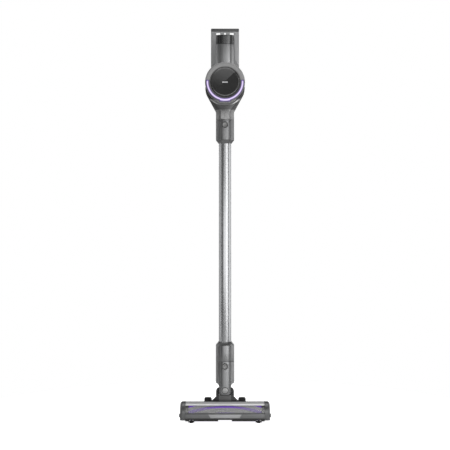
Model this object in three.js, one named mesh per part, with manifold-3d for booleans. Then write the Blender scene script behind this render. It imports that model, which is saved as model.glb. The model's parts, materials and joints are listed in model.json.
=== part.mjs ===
// Cordless stick vacuum: floor head, jointed neck, wand and hand unit.
// Millimetres, +Z up. The front of the vacuum faces -Y, and +X is to the right of that front.
// Heights are measured from the floor. Depths are measured from the axis of the wand.

import * as THREE from 'three';
import { mergeVertices } from 'three/addons/utils/BufferGeometryUtils.js';
import Module from 'manifold-3d';

const wasm = await Module();
wasm.setup();

// ---------------------------------------------------------------- driving dimensions

const GAP = 0.3; // air left between pieces that touch
const FAR = 400; // longer than anything a cutting box has to pass

// Floor head
const HEAD_HALF = 126; // half width over the end caps
const COVER_HALF = 110.7; // half width of the cover, the housing and the bumper
const CAP_INNER = COVER_HALF + GAP;
const ROLLER_Y = -45;
const ROLLER_Z = 27;
const PILE_RADIUS = 23;
const CORE_RADIUS = 16.5;
const CHAMBER_RADIUS = 25.6;
const CHAMBER_HALF = 107.5;
const COVER_INNER_RADIUS = 26;
const COVER_RADIUS = 28.4;
const BUMPER_FRONT = -77.5;
const BUMPER_BACK = -71.3;
const BUMPER_BOTTOM = 13;
const BUMPER_TOP = 28.4;
const TRIM_FRONT = -78;
const SOLE_BOTTOM = 5.5;
const SOLE_TOP = 9;
const HEAD_BACK = 37;
const AXLE_RADIUS = 3;
const MOTOR_Y = 12;
const MOTOR_Z = 25;
const BELT_X = 105.2; // the plane that both belt pulleys share
const BELT_HALF = 1.7;
const BRUSH_PULLEY_RADIUS = 12;
const MOTOR_PULLEY_RADIUS = 6;

// Wheels and small rollers
const WHEEL_RADIUS = 27.5;
const WHEEL_Y = 58;
const WHEEL_INNER = 38.5;
const WHEEL_OUTER = 60;
const FRONT_ROLLER_RADIUS = 4.2;
const FRONT_ROLLER_X = 94;
const FRONT_ROLLER_Y = -73;
const SIDE_ROLLER_RADIUS = 6.2;
const SIDE_ROLLER_X = 123.2;
const SIDE_ROLLER_Z = 17.6;

// Neck
const TILT_Y = 12;
const TILT_Z = 75;
const EAR_RADIUS = 14.5;
const EAR_INNER = 16.9;
const EAR_OUTER = 25.7;
const SWIVEL_Z = 84;
const KNUCKLE_FRONT = -11.5;
const KNUCKLE_BACK = 20;
const TONGUE_FRONT = -24;
const TONGUE_HALF = 16.8;
const PIN_RADIUS = 3.5;

// Faceted section that the neck socket, both wand collars and the inlet share
const COLLAR_HALF = 25.7;
const COLLAR_FACE = 12.8; // half width of the centre face
const COLLAR_SIDE = 12; // half depth of the flat sides
const DUCT_RADIUS = 14.6;
const SPIGOT_RADIUS = 16.6;
const SOCKET_RADIUS = 17.2;
const BUTTON_RADIUS = 8.2;
const BUTTON_TRAVEL = 3;

// Heights of the joins, from the neck upwards
const SOCKET_BOTTOM = 104.8;
const SOCKET_TOP = 165.5;
const LOWER_SPIGOT_BOTTOM = 120;
const LOWER_COLLAR_TOP = 221.9;
const COLLAR_CHAMFER = 10.5;
const UPPER_COLLAR_BOTTOM = 785;
const UPPER_COLLAR_TOP = 851.5;
const SOCKET_BUTTON_Z = 153;
const WAND_BUTTON_Z = 837.5;
const UNIT_SPIGOT_BOTTOM = 815;
const INLET_TOP = 875.5;
const TUBE_HALF = 17.4;
const TUBE_FACE = 9.5;
const TUBE_SIDE = 8;

// Hand unit
const BODY_Z = 957;
const BODY_RADIUS = 56.5;
const BODY_WALL = 3;
const RING_FRONT = -37.5;
const BODY_FRONT = -30;
const BODY_BACK = 45;
const DISPLAY_RADIUS = 40.9;
const LENS_INNER = 46;
const LENS_OUTER = 53;
const CUP_FRONT = 45.6;
const CUP_BACK = 107.7;
const CUP_RADIUS = 55;
const CUP_WALL = 2.2;
const LID_BACK = 112.5;
const LID_HINGE_Y = 114.5;
const LID_HINGE_Z = 897;
const COLUMN_FRONT = -16;
const COLUMN_BACK = 24;
const COLUMN_TOP = 1067.7;
const CAP_TOP = 1094;
const POWER_BUTTON_RADIUS = 7;
const POWER_BUTTON_Y = 6;
const GRIP_BOTTOM = 1063;
const GRIP_TOP = 1097;
const GRIP_HALF = 17;
const TAIL_FRONT = 119;
const TAIL_BACK = 157;
const TAIL_HALF = 41.3;
const TAIL_BOTTOM = 1016;
const TAIL_TOP = 1132.5;
const TAIL_CAP_HEIGHT = 8.5;
const BATTERY_HALF = 34.6;
const BATTERY_BOTTOM = 1020;
const BATTERY_TOP = 1103.6;
const LATCH_PROUD = 1.5; // how far the battery latch stands out of the back

// Middle of the depth, from the bumper trim to the battery latch
const MODEL_CENTRE_Y = (TRIM_FRONT + TAIL_BACK + LATCH_PROUD) / 2;

// ---------------------------------------------------------------- shape helpers

// Turns a three.js geometry into a solid, with its faces pointing out.
function solidOf(geometry) {
  const bare = new THREE.BufferGeometry();
  bare.setAttribute('position', geometry.getAttribute('position').clone());
  if (geometry.index) bare.setIndex(geometry.index.clone());
  const merged = mergeVertices(bare);
  const points = merged.getAttribute('position').array;
  const index = merged.index.array;
  const kept = [];
  let volume = 0;
  const corner = [new THREE.Vector3(), new THREE.Vector3(), new THREE.Vector3()];
  for (let i = 0; i < index.length; i += 3) {
    const triangle = [index[i], index[i + 1], index[i + 2]];
    if (new Set(triangle).size < 3) continue;
    kept.push(triangle);
    triangle.forEach((vertex, j) => corner[j].fromArray(points, vertex * 3));
    volume += corner[0].dot(corner[1].clone().cross(corner[2]));
  }
  if (volume < 0) kept.forEach((triangle) => triangle.reverse());
  return new wasm.Manifold(new wasm.Mesh({
    numProp: 3,
    vertProperties: new Float32Array(points),
    triVerts: new Uint32Array(kept.flat()),
  }));
}

function join(...solids) {
  return solids.reduce((whole, solid) => whole.add(solid));
}

function cut(solid, ...tools) {
  return tools.reduce((whole, tool) => whole.subtract(tool), solid);
}

function box([x0, x1], [y0, y1], [z0, z1]) {
  const geometry = new THREE.BoxGeometry(x1 - x0, y1 - y0, z1 - z0);
  geometry.translate((x0 + x1) / 2, (y0 + y1) / 2, (z0 + z1) / 2);
  return solidOf(geometry);
}

function shapeOf(outline) {
  return new THREE.Shape(outline.map(([u, v]) => new THREE.Vector2(u, v)));
}

// Places a geometry that was drawn in its own XY plane and grows along its own +Z.
// The outline's two coordinates are (y, z) for axis x, (x, z) for axis y and (x, y) for axis z.
function layAlong(axis, geometry, from, to) {
  const matrix = new THREE.Matrix4();
  if (axis === 'x') matrix.set(0, 0, 1, from, 1, 0, 0, 0, 0, 1, 0, 0, 0, 0, 0, 1);
  if (axis === 'y') matrix.set(1, 0, 0, 0, 0, 0, -1, to, 0, 1, 0, 0, 0, 0, 0, 1);
  if (axis === 'z') matrix.makeTranslation(0, 0, from);
  return geometry.applyMatrix4(matrix);
}

// An outline carried straight along an axis, with an optional chamfer at both of its ends.
function prism(axis, outline, from, to, chamfer = 0, inset = chamfer) {
  const geometry = new THREE.ExtrudeGeometry(shapeOf(outline), {
    depth: to - from - 2 * chamfer,
    bevelEnabled: chamfer > 0,
    bevelThickness: chamfer,
    bevelSize: inset,
    bevelOffset: -inset,
    bevelSegments: 1,
    curveSegments: 12,
  });
  geometry.translate(0, 0, chamfer);
  return solidOf(layAlong(axis, geometry, from, to));
}

// A round bar along an axis. Its centre is given in the same two coordinates as an outline.
function rod(axis, radius, from, to, [u, v], sides = 24) {
  const outline = [];
  for (let i = 0; i < sides; i += 1) {
    const angle = (2 * Math.PI * (i + 0.5)) / sides;
    outline.push([u + radius * Math.cos(angle), v + radius * Math.sin(angle)]);
  }
  return prism(axis, outline, from, to);
}

function ring(axis, outer, inner, from, to, centre, sides = 48) {
  return cut(rod(axis, outer, from, to, centre, sides), rod(axis, inner, from - 1, to + 1, centre, sides));
}

// A turned piece: pairs of radius and position along the axis, from the axis back to the axis.
function turned(axis, profile, [u, v], sides = 48) {
  const geometry = new THREE.LatheGeometry(profile.map(([r, h]) => new THREE.Vector2(r, h)), sides);
  if (axis === 'x') geometry.rotateZ(-Math.PI / 2).translate(0, u, v);
  if (axis === 'y') geometry.translate(u, 0, v);
  if (axis === 'z') geometry.rotateX(Math.PI / 2).translate(u, v, 0);
  return solidOf(geometry);
}

// Points on an arc, in degrees, both ends included.
function arcPoints([u, v], radius, start, end, steps) {
  const points = [];
  for (let i = 0; i <= steps; i += 1) {
    const angle = THREE.MathUtils.degToRad(start + ((end - start) * i) / steps);
    points.push([u + radius * Math.cos(angle), v + radius * Math.sin(angle)]);
  }
  return points;
}

// A curved bar: the part of a ring between two angles.
function sector(axis, centre, inner, outer, start, end, from, to, steps) {
  const outline = [
    ...arcPoints(centre, outer, start, end, steps),
    ...arcPoints(centre, inner, end, start, steps),
  ];
  return prism(axis, outline, from, to);
}

// The eight-sided section of the collars, the tube and the column.
function facetedOutline(halfWidth, halfDepth, face, side, middle = 0) {
  const quarter = [[face, halfDepth], [halfWidth, side]];
  const right = [...quarter.map(([x, y]) => [x, y]), ...quarter.map(([x, y]) => [x, -y]).reverse()];
  const left = right.map(([x, y]) => [-x, y]).reverse();
  return [...right, ...left].map(([x, y]) => [x, y + middle]);
}

const collarOutline = facetedOutline(COLLAR_HALF, COLLAR_HALF, COLLAR_FACE, COLLAR_SIDE);

// A collar with one long chamfer, at its top end (side 1) or at its bottom end (side -1).
function chamferedCollar(from, to, side) {
  const inset = COLLAR_HALF - TUBE_HALF;
  const low = side > 0 ? from - COLLAR_CHAMFER : from;
  const high = side > 0 ? to : to + COLLAR_CHAMFER;
  const whole = prism('z', collarOutline, low, high, COLLAR_CHAMFER, inset);
  const spare = side > 0 ? [low - 1, from] : [to, high + 1];
  return cut(whole, box([-FAR, FAR], [-FAR, FAR], spare));
}

// ---------------------------------------------------------------- materials

const finishes = {
  shell: { color: 0x5a5b5d, roughness: 0.45, metalness: 0.25 },
  darkShell: { color: 0x3a3b3d, roughness: 0.5, metalness: 0.2 },
  lightRing: { color: 0x8b8c8e, roughness: 0.4, metalness: 0.35 },
  blackPlastic: { color: 0x161617, roughness: 0.4, metalness: 0 },
  blackGloss: { color: 0x1d1e20, roughness: 0.08, metalness: 0 },
  anodised: { color: 0xb5b7ba, roughness: 0.32, metalness: 0.85 },
  silverTrim: { color: 0xa9abad, roughness: 0.38, metalness: 0.6 },
  steel: { color: 0xc2c4c6, roughness: 0.28, metalness: 0.95 },
  rubber: { color: 0x111112, roughness: 0.85, metalness: 0 },
  smokedClear: { color: 0x9a9da3, roughness: 0.08, metalness: 0 },
  lamp: { color: 0xdac8f5, roughness: 0.3, metalness: 0 },
  pile: { color: 0x6d5a9c, roughness: 0.95, metalness: 0 },
  filterMedia: { color: 0xd8d8d2, roughness: 0.9, metalness: 0 },
  circuit: { color: 0x1f5a3a, roughness: 0.5, metalness: 0.1 },
};

const vacuum = new THREE.Group();
vacuum.position.y = -MODEL_CENTRE_Y;

function addPiece(name, solid, finish) {
  const mesh = solid.getMesh();
  const geometry = new THREE.BufferGeometry();
  geometry.setAttribute('position', new THREE.BufferAttribute(new Float32Array(mesh.vertProperties), 3));
  geometry.setIndex(new THREE.BufferAttribute(new Uint32Array(mesh.triVerts), 1));
  geometry.computeVertexNormals();
  const piece = new THREE.Mesh(geometry, new THREE.MeshStandardMaterial(finishes[finish]));
  piece.name = name;
  vacuum.add(piece);
}

// Calls a function once for each side of the vacuum: -1 is left, 1 is right.
function eachSide(make) {
  make(-1, 'left');
  make(1, 'right');
}

function spanX(side, near, far) {
  return side > 0 ? [near, far] : [-far, -near];
}

// ---------------------------------------------------------------- floor head

const rollerCentre = [ROLLER_Y, ROLLER_Z];
const motorCentre = [MOTOR_Y, MOTOR_Z];
const wheelCentre = [WHEEL_Y, WHEEL_RADIUS];

// Side view of the housing: flat over the roller, then falling towards the back.
function housingOutline(rise) {
  return [
    [ROLLER_Y + GAP, SOLE_TOP + GAP - rise],
    [HEAD_BACK + rise, SOLE_TOP + GAP - rise],
    [HEAD_BACK + rise, 31 + rise],
    [33, 37 + rise],
    [8, 47 + rise],
    [-22, 54.5 + rise],
    [ROLLER_Y + GAP, 55.4 + rise],
  ];
}

function headHousing() {
  const ductHalf = 15;
  return cut(
    prism('x', housingOutline(0), -COVER_HALF, COVER_HALF),
    rod('x', CHAMBER_RADIUS, -CHAMBER_HALF, CHAMBER_HALF, rollerCentre, 36),
    rod('x', 9, -FAR, FAR, rollerCentre),
    // motor bay, and the slot that the belt runs in
    box([38, 102], [MOTOR_Y - 15, MOTOR_Y + 15], [SOLE_TOP - 1, MOTOR_Z + 15]),
    box([101, CHAMBER_HALF], [ROLLER_Y, MOTOR_Y + 10], [MOTOR_Z - 12, MOTOR_Z + 13]),
    // air duct from the roller chamber up into the neck
    box([-ductHalf, ductHalf], [ROLLER_Y, 24], [14, 34]),
    box([-ductHalf, ductHalf], [0, 24], [30, 60]),
    // hollow on the other side, which saves weight
    box([-102, -22], [-12, 27], [SOLE_TOP - 1, 36]),
    // room for the rear wheels
    rod('x', WHEEL_RADIUS + 1.5, WHEEL_INNER - 1.2, WHEEL_OUTER + 1.5, wheelCentre, 36),
    rod('x', WHEEL_RADIUS + 1.5, -WHEEL_OUTER - 1.5, -WHEEL_INNER + 1.2, wheelCentre, 36),
  );
}

function endCap(side) {
  const capArc = arcPoints(rollerCentre, COVER_RADIUS + 0.8, 90, 176, 9);
  const outline = [
    ...capArc,
    [-75, 12],
    [-72, 7],
    [HEAD_BACK - 4, 7],
    [HEAD_BACK, 11],
    [HEAD_BACK, 31],
    [33, 37.5],
    [8, 47.5],
    [-22, 55.2],
  ];
  const chamfer = 4;
  const whole = prism('x', outline, ...spanX(side, CAP_INNER - 2 * chamfer, HEAD_HALF), chamfer);
  const pocketHalf = SIDE_ROLLER_RADIUS + 1;
  return cut(
    whole,
    box(spanX(side, CAP_INNER - 3 * chamfer, CAP_INNER), [-FAR, FAR], [-FAR, FAR]),
    rod('x', 8.3, ...spanX(side, CAP_INNER - 1, CAP_INNER + 5.6), rollerCentre),
    box(
      spanX(side, SIDE_ROLLER_X - pocketHalf, HEAD_HALF + 1),
      [ROLLER_Y - pocketHalf, ROLLER_Y + pocketHalf],
      [SIDE_ROLLER_Z - 6, SIDE_ROLLER_Z + 6],
    ),
    rod('z', 1.7, SIDE_ROLLER_Z - 8.3, SIDE_ROLLER_Z + 8.3, [side * SIDE_ROLLER_X, ROLLER_Y], 12),
  );
}

// A guide roller with its two stub axles, turning about an upright line.
function sideRoller(side) {
  const half = 5.4;
  const stub = 7.8;
  const profile = [
    [0, -stub], [1.4, -stub], [1.4, -half], [5, -half], [SIDE_ROLLER_RADIUS, -half + 1.2],
    [SIDE_ROLLER_RADIUS, half - 1.2], [5, half], [1.4, half], [1.4, stub], [0, stub],
  ].map(([r, h]) => [r, h + SIDE_ROLLER_Z]);
  return turned('z', profile, [side * SIDE_ROLLER_X, ROLLER_Y], 20);
}

function rollerCover() {
  return sector(
    'x', rollerCentre, COVER_INNER_RADIUS, COVER_RADIUS, 90, 176, -COVER_HALF, COVER_HALF, 12,
  );
}

function frontBumper() {
  const outline = [
    [BUMPER_FRONT, BUMPER_BOTTOM], [BUMPER_BACK, BUMPER_BOTTOM], [BUMPER_BACK, BUMPER_TOP],
    [-74.5, BUMPER_TOP], [BUMPER_FRONT, 25.5],
  ];
  const pocket = prism('y', trimOutline(GAP), BUMPER_FRONT - 1, TRIM_FRONT + 1.7);
  return cut(prism('x', outline, -COVER_HALF, COVER_HALF), pocket);
}

function trimOutline(grow) {
  const topHalf = 46.5 + grow;
  const bottomHalf = 40.5 + grow;
  return [[-bottomHalf, 14.5 - grow], [bottomHalf, 14.5 - grow], [topHalf, 24.8 + grow], [-topHalf, 24.8 + grow]];
}

function bumperTrim() {
  return prism('y', trimOutline(0), TRIM_FRONT, TRIM_FRONT + 1.4);
}

// Flat sole round the suction mouth, with a front lip that stands up to meet the bumper.
function solePlate() {
  const lipFront = -76.5;
  const lipBack = -69.5;
  const lipTop = BUMPER_BOTTOM - GAP;
  const lug = 8.4;
  const notchHalf = 19;
  let plate = join(
    box([-COVER_HALF, COVER_HALF], [lipFront, HEAD_BACK], [SOLE_BOTTOM, SOLE_TOP]),
    box([-COVER_HALF, COVER_HALF], [lipFront, lipBack], [SOLE_BOTTOM, lipTop]),
  );
  plate = cut(plate, box([-104, 104], [lipBack, -21], [0, lipTop]));
  eachSide((side) => {
    const middle = side * FRONT_ROLLER_X;
    plate = join(plate, box([middle - lug, middle + lug], [lipFront, lipBack], [2.2, lipTop]));
    plate = cut(
      plate,
      box([middle - 5, middle + 5], [lipFront - 1, lipBack + 1], [0, 9.3]),
      rod('x', 1.7, middle - lug + 1, middle + lug - 1, [FRONT_ROLLER_Y, FRONT_ROLLER_RADIUS], 12),
    );
  });
  return cut(
    plate,
    box([-notchHalf, notchHalf], [lipFront - 1, lipBack + 0.5], [0, 9.5]),
    rod('x', WHEEL_RADIUS + 1.5, WHEEL_INNER - 1.2, WHEEL_OUTER + 1.5, wheelCentre, 36),
    rod('x', WHEEL_RADIUS + 1.5, -WHEEL_OUTER - 1.5, -WHEEL_INNER + 1.2, wheelCentre, 36),
  );
}

function frontRoller(side) {
  const half = 4.5;
  const stub = 6.8;
  const profile = [
    [0, -stub], [1.4, -stub], [1.4, -half], [3.4, -half], [FRONT_ROLLER_RADIUS, -half + 0.8],
    [FRONT_ROLLER_RADIUS, half - 0.8], [3.4, half], [1.4, half], [1.4, stub], [0, stub],
  ].map(([r, h]) => [r, h + side * FRONT_ROLLER_X]);
  return turned('x', profile, [FRONT_ROLLER_Y, FRONT_ROLLER_RADIUS], 20);
}

function squeegee() {
  return prism('x', [[-20.5, 1.5], [-19, 1], [-16, SOLE_BOTTOM - GAP], [-20.5, SOLE_BOTTOM - GAP]], -103, 103);
}

function brushCore() {
  return ring('x', CORE_RADIUS, AXLE_RADIUS + GAP, -103, 103, rollerCentre, 24);
}

function brushPile() {
  return ring('x', PILE_RADIUS, CORE_RADIUS + GAP, -102.5, 102.5, rollerCentre, 36);
}

function brushPulley() {
  return ring(
    'x', BRUSH_PULLEY_RADIUS, AXLE_RADIUS + GAP, BELT_X - BELT_HALF, BELT_X + BELT_HALF, rollerCentre, 24,
  );
}

function brushBearing(side) {
  return ring('x', 8, AXLE_RADIUS + GAP, ...spanX(side, CAP_INNER + GAP, CAP_INNER + 5.3), rollerCentre, 20);
}

// Small motor: a can with a stepped neck towards the belt.
function brushMotor() {
  const profile = [
    [0, 40], [11, 40], [13.5, 42], [13.5, 94], [8, 94], [8, 98], [2.2, 98], [2.2, 96], [0, 96],
  ];
  return turned('x', profile, motorCentre, 24);
}

function motorPulley() {
  return join(
    rod('x', MOTOR_PULLEY_RADIUS, BELT_X - BELT_HALF, BELT_X + BELT_HALF, motorCentre, 16),
    rod('x', 1.6, 96.5, BELT_X, motorCentre, 12),
  );
}

// Outline round both pulleys: an arc on each, joined by the two straight runs.
function beltOutline(extra) {
  const large = BRUSH_PULLEY_RADIUS + extra;
  const small = MOTOR_PULLEY_RADIUS + extra;
  const reach = Math.hypot(MOTOR_Y - ROLLER_Y, MOTOR_Z - ROLLER_Z);
  const heading = THREE.MathUtils.radToDeg(Math.atan2(MOTOR_Z - ROLLER_Z, MOTOR_Y - ROLLER_Y));
  const lean = THREE.MathUtils.radToDeg(Math.acos((large - small) / reach));
  return [
    ...arcPoints(rollerCentre, large, heading + lean, heading + 360 - lean, 16),
    ...arcPoints(motorCentre, small, heading - lean, heading + lean, 12),
  ];
}

function driveBelt() {
  return cut(
    prism('x', beltOutline(GAP + 1.3), BELT_X - BELT_HALF, BELT_X + BELT_HALF),
    prism('x', beltOutline(GAP), BELT_X - FAR, BELT_X + FAR),
  );
}

// ---------------------------------------------------------------- neck and wheels

// Bracket on the head: a flared foot, two ears for the tilt pin and two arms for the rear axle.
function neckBracket() {
  const back = TILT_Y + EAR_RADIUS;
  const front = TILT_Y - EAR_RADIUS;
  const foot = prism('y', [[-40, 38], [40, 38], [40, 50], [27, 63], [-27, 63], [-40, 50]], front, back);
  const panel = box([-29, 29], [front - 4, front], [42, 69]);
  const stems = box([-EAR_OUTER, EAR_OUTER], [front, back], [50, TILT_Z]);
  const ears = rod('x', EAR_RADIUS, -EAR_OUTER, EAR_OUTER, [TILT_Y, TILT_Z], 32);
  const arms = prism(
    'x',
    [[back - 8, 34], [back - 8, 50], [back + 6, 50], [WHEEL_Y + 7, 34], [WHEEL_Y + 7, 20], [WHEEL_Y - 7, 20]],
    -36.5,
    36.5,
  );
  const knuckleRoom = join(
    rod('x', EAR_RADIUS + 1, -EAR_INNER, EAR_INNER, [TILT_Y, TILT_Z], 32),
    box([-EAR_INNER, EAR_INNER], [front - 0.6, back + 1], [TILT_Z, TILT_Z + 20]),
    box([-EAR_INNER, EAR_INNER], [TILT_Y, back + 8], [56, TILT_Z + 20]),
  );
  return cut(
    join(foot, panel, stems, ears, arms),
    knuckleRoom,
    box([-29, 29], [back + 0.5, FAR], [0, FAR]),
    box([-14, 14], [1, 23], [0, 70]),
    rod('x', PIN_RADIUS + GAP, -FAR, FAR, [TILT_Y, TILT_Z], 20),
    rod('x', AXLE_RADIUS + GAP, -FAR, FAR, wheelCentre, 20),
    prism('x', housingOutline(0.4), -FAR, FAR),
    box([-FAR, FAR], [-FAR, HEAD_BACK + 0.4], [-FAR, 31]),
  );
}

function tiltPin() {
  return rod('x', PIN_RADIUS, -EAR_OUTER + GAP, EAR_OUTER - GAP, [TILT_Y, TILT_Z], 20);
}

function rearAxle() {
  return rod('x', AXLE_RADIUS, -WHEEL_OUTER - 1, WHEEL_OUTER + 1, wheelCentre, 20);
}

function wheelHub(side) {
  const hub = rod('x', 21.2, ...spanX(side, WHEEL_INNER + 1, WHEEL_OUTER - 1), wheelCentre, 36);
  const dish = ring(
    'x', 17.5, 8, ...spanX(side, WHEEL_OUTER - 4, WHEEL_OUTER), wheelCentre, 36,
  );
  return cut(hub, dish, rod('x', AXLE_RADIUS + GAP, -FAR, FAR, wheelCentre, 20));
}

function wheelTyre(side) {
  const near = side > 0 ? WHEEL_INNER : -WHEEL_OUTER;
  const far = side > 0 ? WHEEL_OUTER : -WHEEL_INNER;
  const inner = 21.2 + GAP;
  const crown = 3;
  const profile = [
    [inner, near], [WHEEL_RADIUS - crown, near], [WHEEL_RADIUS, near + crown],
    [WHEEL_RADIUS, far - crown], [WHEEL_RADIUS - crown, far], [inner, far], [inner, near],
  ];
  return turned('x', profile, wheelCentre, 36);
}

// The knuckle turns on the tilt pin, and its boss carries the wand's side-to-side swivel.
function neckKnuckle() {
  return cut(
    join(
      rod('x', EAR_RADIUS - 0.5, -EAR_INNER + GAP, EAR_INNER - GAP, [TILT_Y, TILT_Z], 32),
      rod('y', 13, KNUCKLE_FRONT, KNUCKLE_BACK, [0, SWIVEL_Z], 32),
    ),
    rod('x', PIN_RADIUS + GAP, -FAR, FAR, [TILT_Y, TILT_Z], 20),
    rod('y', 4 + GAP, -FAR, FAR, [0, SWIVEL_Z], 20),
  );
}

// Swivel pin with the round cap that shows on the front of the neck.
// It stops short of the tilt pin, which crosses below and behind it.
function swivelPin() {
  const profile = [
    [0, -26.5], [8.4, -26.5], [9.6, -25.4], [9.6, TONGUE_FRONT - GAP], [4, TONGUE_FRONT - GAP],
    [4, KNUCKLE_BACK - 1], [0, KNUCKLE_BACK - 1],
  ];
  return turned('y', profile, [0, SWIVEL_Z], 28);
}

// Front plate of the neck: two scooped shoulders, a waist and a round end on the swivel.
function tongueOutline() {
  const scoopRadius = 10.3;
  const scoop = arcPoints([COLLAR_HALF + 1.5, SOCKET_BOTTOM - scoopRadius], scoopRadius, 98, 180, 5);
  const right = [
    [COLLAR_HALF, SOCKET_BOTTOM + 8], ...scoop, [TONGUE_HALF, 80], [14.5, 75], [10, 72],
  ];
  return [...right, ...right.map(([x, z]) => [-x, z]).reverse()];
}

function neckSocket() {
  const tongue = prism('y', tongueOutline(), TONGUE_FRONT, KNUCKLE_FRONT - GAP);
  const cup = prism('z', collarOutline, SOCKET_BOTTOM, SOCKET_TOP);
  return cut(
    join(cup, tongue),
    rod('z', SOCKET_RADIUS, SOCKET_BOTTOM + 4, FAR, [0, 0], 28),
    rod('z', 11, 0, FAR, [0, 0], 20).intersect(box([-FAR, FAR], [-FAR, FAR], [SOCKET_BOTTOM - 1, FAR])),
    rod('y', 13.4, KNUCKLE_FRONT - GAP, KNUCKLE_BACK + 8, [0, SWIVEL_Z], 32),
    rod('y', 4 + GAP, -FAR, KNUCKLE_BACK, [0, SWIVEL_Z], 20),
    buttonPocket(SOCKET_BUTTON_Z),
  );
}

// ---------------------------------------------------------------- release buttons

const BUTTON_FACE = -COLLAR_HALF - 1;
const BUTTON_BACK = -COLLAR_HALF + 3.6;

// Round well in the front face, closed towards the duct, deep enough for the button's travel.
function buttonPocket(z) {
  return rod('y', BUTTON_RADIUS + GAP, -FAR, BUTTON_BACK + BUTTON_TRAVEL + GAP, [0, z], 28);
}

function releaseButton(z) {
  const profile = [
    [0, BUTTON_FACE], [BUTTON_RADIUS - 1, BUTTON_FACE], [BUTTON_RADIUS, BUTTON_FACE + 0.9],
    [BUTTON_RADIUS, BUTTON_BACK], [0, BUTTON_BACK],
  ];
  return turned('y', profile, [0, z], 28);
}

// ---------------------------------------------------------------- wand

function wandLowerCollar() {
  const bottom = SOCKET_TOP + GAP;
  const body = chamferedCollar(bottom, LOWER_COLLAR_TOP, 1);
  const spigot = rod('z', SPIGOT_RADIUS, LOWER_SPIGOT_BOTTOM, bottom + 1, [0, 0], 28);
  return cut(
    join(body, spigot),
    rod('z', DUCT_RADIUS, 0, FAR, [0, 0], 24),
    prism('z', facetedOutline(TUBE_HALF + GAP, TUBE_HALF + GAP, TUBE_FACE, TUBE_SIDE), bottom + 14, FAR),
    buttonPocket(SOCKET_BUTTON_Z),
  );
}

function wandTube() {
  const bottom = SOCKET_TOP + GAP + 14 + GAP;
  const top = UPPER_COLLAR_TOP - 42;
  return cut(
    prism('z', facetedOutline(TUBE_HALF, TUBE_HALF, TUBE_FACE, TUBE_SIDE), bottom, top),
    rod('z', 15.6, 0, FAR * 3, [0, 0], 24),
  );
}

function wandCableChannel() {
  return box([-4, 4], [11.2, 14.5], [SOCKET_TOP + 15, UPPER_COLLAR_TOP - 43]);
}

function wandUpperCollar() {
  const body = chamferedCollar(UPPER_COLLAR_BOTTOM, UPPER_COLLAR_TOP, -1);
  return cut(
    body,
    prism(
      'z', facetedOutline(TUBE_HALF + GAP, TUBE_HALF + GAP, TUBE_FACE, TUBE_SIDE), 700,
      UPPER_COLLAR_TOP - 42 + GAP,
    ),
    rod('z', DUCT_RADIUS, 700, FAR * 3, [0, 0], 24),
    rod('z', SOCKET_RADIUS, UNIT_SPIGOT_BOTTOM - GAP, FAR * 3, [0, 0], 28),
    buttonPocket(WAND_BUTTON_Z),
  );
}

// ---------------------------------------------------------------- hand unit

const bodyCentre = [0, BODY_Z];

// Inlet spigot, collar and the V-shaped neck that widens to the round body.
function inletNeck() {
  const bottom = UPPER_COLLAR_TOP + GAP;
  const inlet = prism('z', collarOutline, bottom, INLET_TOP);
  const right = [[COLLAR_HALF, INLET_TOP - 0.5], [54, 926], [56.3, 945]];
  const neck = prism('y', [...right, ...right.map(([x, z]) => [-x, z]).reverse()], -25, 25, 3);
  const spigot = rod('z', SPIGOT_RADIUS, UNIT_SPIGOT_BOTTOM, bottom + 1, [0, 0], 28);
  return cut(
    join(inlet, neck, spigot),
    rod('y', BODY_RADIUS + GAP, -FAR, FAR, bodyCentre, 64),
    rod('z', DUCT_RADIUS - 1, UNIT_SPIGOT_BOTTOM - 1, BODY_Z, [0, 0], 24),
    buttonPocket(WAND_BUTTON_Z),
  );
}

// Round motor casing, open in the middle at both ends, with an air hole over the inlet.
function motorHousing() {
  const inner = BODY_RADIUS - BODY_WALL;
  const profile = [
    [24, BODY_FRONT], [BODY_RADIUS, BODY_FRONT], [BODY_RADIUS, BODY_BACK], [33, BODY_BACK],
    [33, BODY_BACK - 3], [inner, BODY_BACK - 3], [inner, BODY_FRONT + 3], [24, BODY_FRONT + 3],
    [24, BODY_FRONT],
  ];
  return cut(
    turned('y', profile, bodyCentre, 56),
    rod('z', DUCT_RADIUS - 1, BODY_Z - BODY_RADIUS - 2, BODY_Z - 40, [0, 0], 24),
  );
}

// The lens is a half ring under the display, with a wider tab at its lowest point.
function lensSolid(grow, front, back) {
  const tabHalf = 14.4 + grow;
  const arc = sector(
    'y', bodyCentre, LENS_INNER - grow, LENS_OUTER + grow, 180 - grow, 360 + grow, front, back, 28,
  );
  const tab = box(
    [-tabHalf, tabHalf], [front, back], [BODY_Z - LENS_OUTER - 1.5 - grow, BODY_Z - LENS_INNER - 2],
  );
  return join(arc, tab);
}

function frontRing() {
  const profile = [
    [DISPLAY_RADIUS + GAP, RING_FRONT], [BODY_RADIUS - 2.5, RING_FRONT], [BODY_RADIUS, RING_FRONT + 3],
    [BODY_RADIUS, BODY_FRONT - GAP], [DISPLAY_RADIUS + GAP, BODY_FRONT - GAP],
    [DISPLAY_RADIUS + GAP, RING_FRONT],
  ];
  return cut(turned('y', profile, bodyCentre, 56), lensSolid(GAP, RING_FRONT - 2, RING_FRONT + 4));
}

function displayDisc() {
  const back = BODY_FRONT - GAP;
  const profile = [
    [0, RING_FRONT - 0.6], [DISPLAY_RADIUS - 1.6, RING_FRONT - 0.4], [DISPLAY_RADIUS, RING_FRONT + 0.8],
    [DISPLAY_RADIUS, back], [0, back],
  ];
  return turned('y', profile, bodyCentre, 48);
}

function fanMotor() {
  const profile = [
    [0, -24], [14, -24], [14, -18], [24, -14], [24, 12], [6, 12], [6, 8], [3.2, 8], [3.2, 4], [0, 4],
  ];
  return turned('y', profile, bodyCentre, 32);
}

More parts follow.
